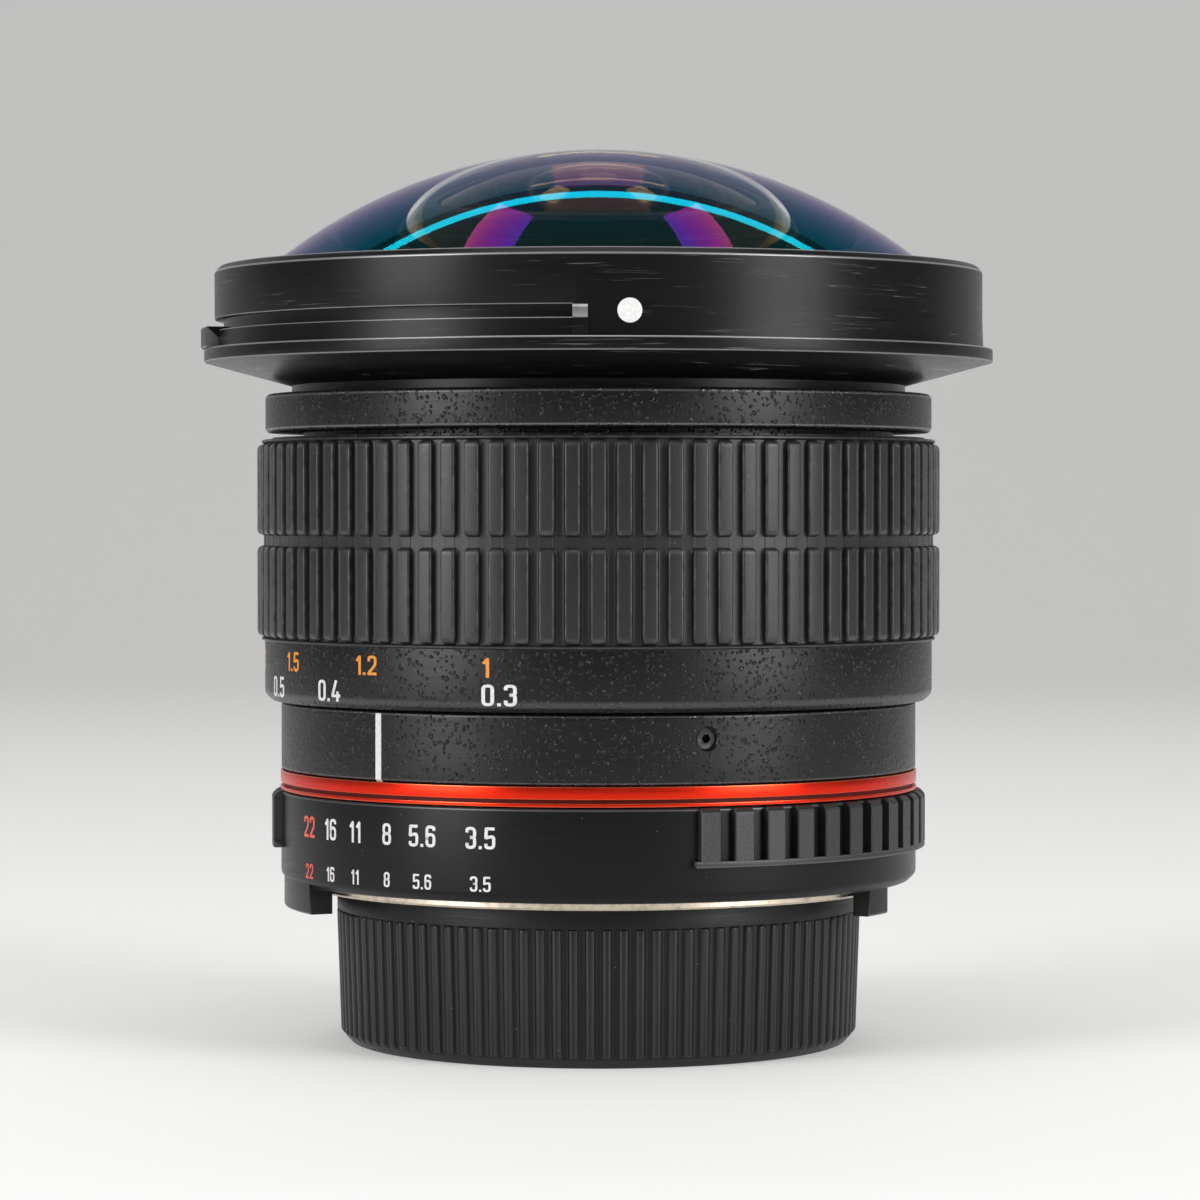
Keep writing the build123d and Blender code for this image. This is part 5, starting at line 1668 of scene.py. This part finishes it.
@dataclass
class FocusUnit(SubAssembly):
    """Focus sleeve with its distance scale, and the rubber grip on it."""

    bottom: float = 33.75
    scale_top: float = 39.6
    grip_top: float = 59.3
    sleeve_top: float = 59.5
    radius: float = 32.96
    rounding: float = 0.75
    seat: float = 32.2
    inner: float = 29.22
    lip: float = 27.2
    lip_top: float = 35.6
    pin_groove: tuple[float, float, float] = (29.4, 31.2, 1.0)
    pin_arc: tuple[float, float] = (-6.9, 125.1)
    grip_base: float = 33.0
    rib_crest: float = 0.7
    rib_count: int = 88
    groove_low: float = 48.99
    groove_high: float = 49.86
    metres: tuple[str, ...] = ("0.3", "0.4", "0.5", "0.7", "1", "2")
    metre_row: float = 35.36
    metre_size: float = 2.0
    feet: tuple[str, ...] = ("1", "1.2", "1.5", "2", "3", "5")
    feet_row: float = 37.9
    feet_size: float = 1.85
    far_angle: float = -134.2
    spread: float = 28.61
    near_offset: float = 0.0577
    digit_width: float = 1.3
    metres_in_foot: float = 0.3048

    def build(self) -> None:
        """Builds the sleeve, the grip and the scale."""
        groove_inner, groove_outer, groove_depth = self.pin_groove

        def section(angle: float) -> Section:
            """Half-section of the sleeve.

            Args:
                angle: Where it is, which decides whether it has the stop pin's groove.

            Returns:
                The half-section.
            """
            floor_height = self.bottom + (groove_depth if within(angle, *self.pin_arc) else 0.0)
            return (
                (self.lip, self.bottom), (groove_inner, self.bottom),
                (groove_inner, floor_height), (groove_outer, floor_height),
                (groove_outer, self.bottom), (self.radius - self.rounding, self.bottom),
                (self.radius, self.bottom + self.rounding * 0.8, self.rounding * 0.7, 0.35),
                (self.radius, self.scale_top, 0.08, 0.6), (self.seat, self.scale_top),
                (self.seat, self.sleeve_top), (self.inner, self.sleeve_top),
                (self.inner, self.lip_top), (self.lip, self.lip_top),
            )

        edges = (self.pin_arc[0], sum(self.pin_arc))
        sleeve = turned("focus_sleeve_body", section, columns(ROUND_COLUMNS, edges))
        self.put(sleeve, CRACKLE_PAINT, Body.FOCUS, "focus_sleeve")
        self._grip()
        self._scale()

    def _grip(self) -> None:
        """Builds the rubber grip from one rib's cell."""
        profile = (
            (0, 1), (0.40, 1.0), (0.50, 0.98), (0.56, 0.90), (0.595, 0.74),
            (0.62, 0.40), (0.66, 0.13), (0.74, 0.02), (0.84, 0), (1, 0),
        )
        # Height from a rib's end, and how much of its rise and width it has there
        ends = (
            (0.0, 0.1, 0.6), (0.08, 0.45, 0.76), (0.2, 0.8, 0.88), (0.38, 0.96, 0.96), (0.7, 1.0, 1.0)
        )
        pitch = FULL_TURN / self.rib_count
        shape = RibShape(pitch, self.rib_crest, profile, 0.75)
        base = self.grip_base
        rows = [
            RibRow(self.seat + 0.03, self.scale_top), RibRow(base + 0.12, self.scale_top),
            RibRow(base + 0.26, self.scale_top + 0.08, wear=0.8),
            RibRow(base + 0.28, self.scale_top + 0.22, wear=0.3),
            RibRow(base + 0.16, self.scale_top + 0.34), RibRow(base, self.scale_top + 0.4),
        ]
        for low, high in (
            (self.scale_top + 0.42, self.groove_low - 0.05),
            (self.groove_high + 0.05, self.grip_top - 0.42),
        ):
            rows += [RibRow(base, low + rise, share, width) for rise, share, width in ends]
            rows += [RibRow(base, high - rise, share, width) for rise, share, width in reversed(ends)]
        rows += [
            RibRow(base, self.grip_top - 0.4), RibRow(base + 0.16, self.grip_top - 0.34),
            RibRow(base + 0.28, self.grip_top - 0.22, wear=0.3),
            RibRow(base + 0.26, self.grip_top - 0.08, wear=0.9), RibRow(base + 0.12, self.grip_top),
            RibRow(self.seat + 0.03, self.grip_top),
        ]
        grip = self.array.run(shape.cell("grip_ribs", rows), GRIP_RUBBER, self.rib_count, 0.0, pitch)
        self.put(grip, GRIP_RUBBER, Body.FOCUS, "focus_grip")

    def _angle(self, metres: float) -> float:
        """Polar angle of a distance on the scale."""
        return FRONT + self.far_angle + self.spread / (metres - self.near_offset)

    def _scale(self) -> None:
        """Sets the distances on the sleeve's lower band."""
        for name, texts, unit, row, size, finish in (
            ("scale_metres", self.metres, 1.0, self.metre_row, self.metre_size, SCALE_WHITE),
            ("scale_feet", self.feet, self.metres_in_foot, self.feet_row, self.feet_size, SCALE_ORANGE),
        ):
            marks = [
                Mark(text, self._angle(float(text) * unit), row, size, self.digit_width) for text in texts
            ]
            self.put(self.marker.numbers(name, marks, self.radius), finish, Body.FOCUS)
        self._far_mark()

    def _far_mark(self) -> None:
        """Sets the figure eight on its side that marks the far end of the scale."""
        steps, half_width, half_height, width = 48, 1.35, 0.62, 0.28
        middle = (self.metre_row + self.feet_row) / 2
        turns = [2 * pi * step / steps for step in range(steps)]
        line = [(half_width * cos(turn), half_height * sin(2 * turn)) for turn in turns]

        def spot_at(x: float, y: float, depth: float) -> Vector:
            """Place on the sleeve of a point of the mark."""
            return spot(self.radius + depth, FRONT + self.far_angle + degrees(x / self.radius), middle + y)

        shape = bmesh.new()
        self.marker.stroke(shape, line, True, width, spot_at)
        clean(shape)
        self.put(piece_of("scale_far_mark", shape), SCALE_WHITE, Body.FOCUS)


@dataclass
class FrontBarrel(SubAssembly):
    """Crackle band above the grip, with its spigot inside."""

    bottom: float = 60.0
    top: float = 63.75
    radius: float = 32.9
    edge: float = 0.3
    bore: float = 27.02
    spigot: float = 29.16
    spigot_bottom: float = 50.4

    def build(self) -> None:
        """Builds the band."""
        band = turned(
            "front_band",
            (
                (self.bore, self.spigot_bottom), (self.spigot, self.spigot_bottom),
                (self.spigot, self.bottom), (self.radius - self.edge, self.bottom, 0.05),
                (self.radius, self.bottom + self.edge, 0.15, 0.8),
                (self.radius, self.top - self.edge, 0.15, 0.9),
                (self.radius - self.edge, self.top, 0.05, 0.4), (self.bore, self.top),
            ),
        )
        self.put(band, CRACKLE_PAINT, Body.BARREL, "front_barrel")


@dataclass
class HoodRing(SubAssembly):
    """Ring that carries the hood: neck, cone, flange and grooved seat."""

    bottom: float = 63.75
    neck_top: float = 64.6
    flange_bottom: float = 66.9
    flange_top: float = 68.2
    seat_top: float = 75.7
    rim_top: float = 76.3
    neck: float = 30.3
    flange: float = 38.9
    radius: float = 37.87
    draft: float = 0.1
    rim: float = 37.3
    bore: float = 36.05
    cell_seat: float = 68.9
    cavity: float = 30.1
    floor_top: float = 64.9
    floor_inner: float = 24.0
    groove_bottom: float = 69.9
    groove_top: float = 71.06
    groove_depth: float = 0.9
    groove_arc: tuple[float, float] = (170.0, 96.45)
    stop_arc: tuple[float, float] = (266.45, 2.1)
    stop_rise: float = 0.25
    pads: tuple[tuple[float, float], ...] = ((175.0, 12.5), (189.5, 4.5))
    pad_radius: float = 39.2
    pad_top: float = 70.2
    dot_angle: float = FRONT + 4.3
    dot_height: float = 70.5
    dot_radius: float = 1.13

    def surface(self, height: float) -> float:
        """Radius of the seat and of the drafted band below it."""
        share = (self.groove_top - height) / (self.groove_top - self.flange_top)
        return self.radius + self.draft * min(max(share, 0.0), 1.0)

    def section(self, angle: float) -> Section:
        """Half-section of the ring.

        Args:
            angle: Where it is, which decides whether it has the groove.

        Returns:
            The half-section.
        """
        grooved = within(angle, *self.groove_arc)
        low, high = self.surface(self.groove_bottom), self.radius
        floor_radius = self.radius - self.groove_depth
        return (
            (self.floor_inner, self.bottom), (self.neck, self.bottom),
            (self.neck, self.neck_top), (self.flange, self.flange_bottom, 0.14, 0.6),
            (self.flange, self.flange_top, 0.2, 0.9), (self.surface(self.flange_top), self.flange_top, 0.1),
            (low, self.groove_bottom, 0.12 if grooved else 0.001, 1.0 if grooved else 0.0),
            (floor_radius if grooved else low, self.groove_bottom, 0.05),
            (floor_radius if grooved else high, self.groove_top, 0.05),
            (high, self.groove_top, 0.12 if grooved else 0.001, 1.0 if grooved else 0.0),
            (self.radius, self.seat_top, 0.14, 1.0), (self.rim, self.rim_top, 0.16, 0.8),
            (self.bore, self.rim_top, 0.1, 0.5), (self.bore, self.cell_seat),
            (self.cavity, self.cell_seat), (self.cavity, self.floor_top),
            (self.floor_inner, self.floor_top),
        )

    def build(self) -> None:
        """Builds the ring, its stop, its pads and its dot."""
        edges = (self.groove_arc[0], sum(self.groove_arc))
        ring = turned("hood_ring_body", self.section, columns(ROUND_COLUMNS, edges))
        self.put(ring, HOOD_PAINT, Body.BARREL, "hood_ring")
        inner = self.radius - self.groove_depth - 0.01
        outer = self.radius + self.stop_rise
        stop = arc_piece(
            "hood_stop",
            (
                (inner, self.groove_bottom - 0.02), (outer, self.groove_bottom - 0.02, 0.05),
                (outer, self.groove_top - self.stop_rise, 0.05), (self.radius, self.groove_top),
                (inner, self.groove_top),
            ),
            *self.stop_arc,
        )
        self.put(stop, BARE_METAL, Body.BARREL, "hood_ring")
        foot = arc_piece(
            "hood_stop_foot",
            ring_section(inner, outer, self.flange_top - 0.02, self.groove_bottom - 0.02, 0.06, 0.8),
            *self.stop_arc,
        )
        section = ring_section(inner, self.pad_radius, self.flange_top, self.pad_top, 0.16, 0.8)
        pads = [arc_piece("pad", section, *arc) for arc in self.pads]
        self.put(joined("hood_pads", [foot, *pads]), HOOD_PAINT, Body.BARREL, "hood_ring")
        dot = self.marker.patch(
            "hood_dot", lambda share: self.dot_radius * sqrt(max(1 - share**2, 0.0)), self.dot_angle,
            self.dot_radius, self.dot_height, self.surface,
        )
        self.put(dot, HOOD_DOT, Body.BARREL)


@dataclass
class FrontBezel(SubAssembly):
    """Bezel that holds the front glass, with two notches for a key."""

    bottom: float = 70.42
    inner: float = 33.44
    outer: float = 36.01
    lip: float = 32.6
    lip_bottom: float = 76.2424
    lip_root: float = 75.5679
    top: float = 76.5924
    slope: float = 0.6
    notch: tuple[float, float] = (33.925, 35.525)
    notch_floor: float = 75.49
    notch_half_arc: float = 1.32

    def build(self) -> None:
        """Builds the bezel."""
        near, far = self.notch

        def slope_height(radius: float) -> float:
            """Height of the sloping top at a radius."""
            return self.top - self.slope * (radius - self.lip) / (self.outer - self.lip)

        def section(angle: float) -> Section:
            """Half-section of the bezel.

            Args:
                angle: Where it is, which decides whether it has a notch.

            Returns:
                The half-section.
            """
            half = self.notch_half_arc
            notched = any(within(angle, side - half, 2 * half) for side in (0, 180))
            return (
                (self.inner, self.bottom), (self.outer, self.bottom),
                (self.outer, slope_height(self.outer), 0.08, 0.5), (far, slope_height(far)),
                (far, self.notch_floor if notched else slope_height(far)),
                (near, self.notch_floor if notched else slope_height(near)),
                (near, slope_height(near)), (self.lip, self.top, 0.1, 0.4),
                (self.lip, self.lip_bottom), (self.inner, self.lip_root),
            )

        edges = [side + turn * self.notch_half_arc for side in (0, 180) for turn in (-1, 1)]
        bezel = turned("front_bezel_ring", section, columns(ROUND_COLUMNS, edges))
        self.put(bezel, BEZEL_PAINT, Body.BARREL, "front_bezel")


@dataclass(frozen=True)
class Element:
    """Lens element: its edge, both poles and curves, and how far its hollow rear reaches."""

    name: str
    edge: float
    front: float
    front_curve: float
    rear: float
    rear_curve: float
    rear_edge: float
    body: Body = Body.BARREL


@dataclass
class GlassGroup(SubAssembly):
    """All ten elements, with blackened edges."""

    rings: int = 40
    around: int = 144
    cement_gap: float = 0.01
    dome_edge: float = 20.0
    sharp: float = radians(20)
    level: float = 0.999
    upright: float = 0.05
    rim_share: float = 0.998
    ledge_drop: float = 0.2

    def build(self) -> None:
        """Builds each element."""
        gap = self.cement_gap
        front = (
            Element("front_element", 33.4, 87.9223, 51.2, 84.8423, 22.5, 21.0),
            Element("second_element", 17.0, 79.8242, 30.0, 78.0242, 12.0, 11.0),
            Element("third_element", 9.5, 60.4694, -40.0, 59.2694 + gap, 18.0, 9.5),
            Element("fourth_element", 9.5, 59.2694 - gap, 18.0, 53.7694, -22.0, 9.5),
        )
        rear = (
            Element("fifth_element", 7.0, 42.5819, -30.0, 41.2319 + gap, 15.0, 7.0, Body.CARRIAGE),
            Element("sixth_element", 7.0, 41.2319 - gap, 15.0, 37.4319, -20.0, 7.0, Body.CARRIAGE),
            Element("seventh_element", 8.0, 36.3127, 40.0, 33.0127, -28.0, 8.0, Body.CARRIAGE),
            Element("eighth_element", 9.5, 31.1716, 60.0, 26.3716 + gap, -20.0, 9.5, Body.CARRIAGE),
            Element("ninth_element", 9.5, 26.3716 - gap, -20.0, 24.7716, 70.0, 9.5, Body.CARRIAGE),
            Element("tenth_element", 11.0, 22.2134, 45.0, 18.1134, -90.0, 11.0, Body.CARRIAGE),
        )
        for element in front + rear:
            self._element(element)

    def _element(self, element: Element) -> None:
        """Builds one element and blackens its edge.

        Args:
            element: The element.
        """
        section = []
        for step in range(self.rings + 1):
            reach = element.rear_edge * sin(pi / 2 * step / self.rings)
            section.append((reach, element.rear - sag(element.rear_curve, reach)))
        if element.rear_edge < element.edge:
            section.append((element.edge, section[-1][1]))
        for step in range(self.rings + 1):
            reach = element.edge * sin(pi / 2 * (1 - step / self.rings))
            section.append((max(reach, 0.0), element.front - sag(element.front_curve, reach)))
        dome = element.edge > self.dome_edge
        around = self.around * 2 if dome else self.around
        glass = turned(element.name + "_glass", section, columns(around), loop=False)
        finish = FRONT_GLASS if dome else INNER_GLASS
        glass.data.materials.append(finish.material())
        glass.data.materials.append(INSIDE_PAINT.material())
        front_edge = element.front - sag(element.front_curve, element.edge)
        for face in glass.data.polygons:
            middle = face.center / METRE
            reach, rise = hypot(middle.x, middle.y), abs(face.normal.z)
            wall = rise < self.upright and reach > element.edge * self.rim_share
            ledge = rise > self.level and reach > element.rear_edge
            if wall or (ledge and middle.z < front_edge - self.ledge_drop):
                face.material_index = 1
        shade(glass.data, self.sharp)
        self.put(glass, finish, element.body, element.name)


# Every sub-assembly, from the back to the front
UNITS = (RearCap, ApertureRing, IndexBarrel, FocusUnit, FrontBarrel, HoodRing, FrontBezel, GlassGroup)


class Inside:
    """CAD nodes that keep their own shape and only get a finish."""

    def build(self, nodes: dict[str, Piece]) -> None:
        """Gives each node the finish of its slot in the record.

        Args:
            nodes: CAD nodes by name.
        """
        for name, node in nodes.items():
            finish = NODE_FINISHES[node.data.materials[0].name.split(".")[0]]
            for slot in node.material_slots:
                slot.material = finish.material()
            LOG.info("%s: %s", name, finish.name)


# The picture


@dataclass
class Studio:
    """Floor, lamps, world and camera, in metres, with the lens and sensor in millimetres."""

    floor_reach: float = 1.6
    floor_half_width: float = 2.4
    wall_height: float = 1.8
    bend: float = 0.7
    floor_colour: Colour = (0.80, 0.80, 0.79)
    floor_glow: Colour = (0.25, 0.25, 0.247)
    floor_roughness: float = 0.7
    bend_steps: int = 16
    lamp_target: Point = (0.0, 0.0, 0.05)
    camera_place: Point = (0.0, -0.435, 0.0526)
    camera_target: Point = (0.00015, 0.0, 0.04348)
    focal_length: float = 131.64
    sensor_width: float = 36.0
    clip_start: float = 0.01
    world_level: float = 0.16
    backdrop_level: float = 0.75

    def build(self) -> None:
        """Sets up all of it."""
        self._floor()
        self._world()
        self._lamp("left_softbox", (-0.60, -0.42, 0.26), (0.34, 0.62), 4.3)
        self._lamp("right_softbox", (0.60, -0.42, 0.26), (0.34, 0.62), 4.3)
        self._lamp("top_softbox", (0.0, -0.10, 0.95), (0.7, 0.5), 2.2)
        self._lamp("back_strip", (0.0, 0.51, 0.76), (0.8, 0.05), 0.7)
        self._camera()

    def _floor(self) -> None:
        """Pale floor that bends up into a backdrop."""
        shape = bmesh.new()
        line = [(-self.floor_reach, 0.0), (self.floor_reach - self.bend, 0.0)]
        for step in range(1, self.bend_steps + 1):
            turn = pi / 2 * step / self.bend_steps
            line.append((self.floor_reach - self.bend + self.bend * sin(turn), self.bend * (1 - cos(turn))))
        line.append((self.floor_reach, self.wall_height))
        rows = [[shape.verts.new((x * self.floor_half_width, y, z)) for x in (-1, 1)] for y, z in line]
        for near, far in zip(rows, rows[1:]):
            bridge(shape, far, near, False)
        floor = piece_of("floor", shape)
        floor.data.shade_smooth()
        material = bpy.data.materials.new("Pale floor")
        material.use_nodes = True
        shader = material.node_tree.nodes["Principled BSDF"].inputs
        shader["Base Color"].default_value = (*self.floor_colour, 1.0)
        shader["Roughness"].default_value = self.floor_roughness
        graph = Graph(material.node_tree)
        rays = graph.outs("ShaderNodeLightPath")
        seen = graph.math("MAXIMUM", rays["Is Camera Ray"], rays["Is Transmission Ray"])
        seen = graph.math("MAXIMUM", seen, rays["Is Glossy Ray"])
        graph.feed(shader["Emission Color"], graph.blend(seen, (0.0, 0.0, 0.0), self.floor_glow))
        shader["Emission Strength"].default_value = 1.0
        floor.data.materials.append(material)

    def _world(self) -> None:
        """Even pale light from all sides."""
        world = bpy.data.worlds.new("Studio world")
        world.use_nodes = True
        backdrop = world.node_tree.nodes["Background"].inputs
        backdrop["Color"].default_value = (1.0, 1.0, 1.0, 1.0)
        graph = Graph(world.node_tree)
        seen = graph.out("ShaderNodeLightPath", output="Is Camera Ray")
        graph.feed(backdrop["Strength"], graph.span(seen, 0.0, 1.0, self.world_level, self.backdrop_level))
        bpy.context.scene.world = world

    def _lamp(self, name: str, place: Point, size: tuple[float, float], power: float) -> None:
        """Soft lamp that faces the lens.

        Args:
            name: Name of the lamp.
            place: Where it is, in metres.
            size: Width and height, in metres.
            power: Power in watts.
        """
        light = bpy.data.lights.new(name, "AREA")
        light.shape = "RECTANGLE"
        light.size, light.size_y = size
        light.energy = power
        aimed(name, light, place, self.lamp_target)

    def _camera(self) -> None:
        """Camera at the photograph's place."""
        data = bpy.data.cameras.new("camera")
        data.lens = self.focal_length
        data.sensor_width = self.sensor_width
        data.clip_start = self.clip_start
        bpy.context.scene.camera = aimed("camera", data, self.camera_place, self.camera_target)


def main() -> None:
    """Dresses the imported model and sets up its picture."""
    logging.basicConfig(level=logging.INFO, format="%(message)s")
    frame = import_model()
    bpy.context.scene.view_settings.view_transform = "Standard"
    array, marker = RingArray(), Marker()
    Inside().build(frame["nodes"])
    for unit in UNITS:
        unit(array, marker).build()
    Studio().build()


if __name__ == "__main__":
    main()
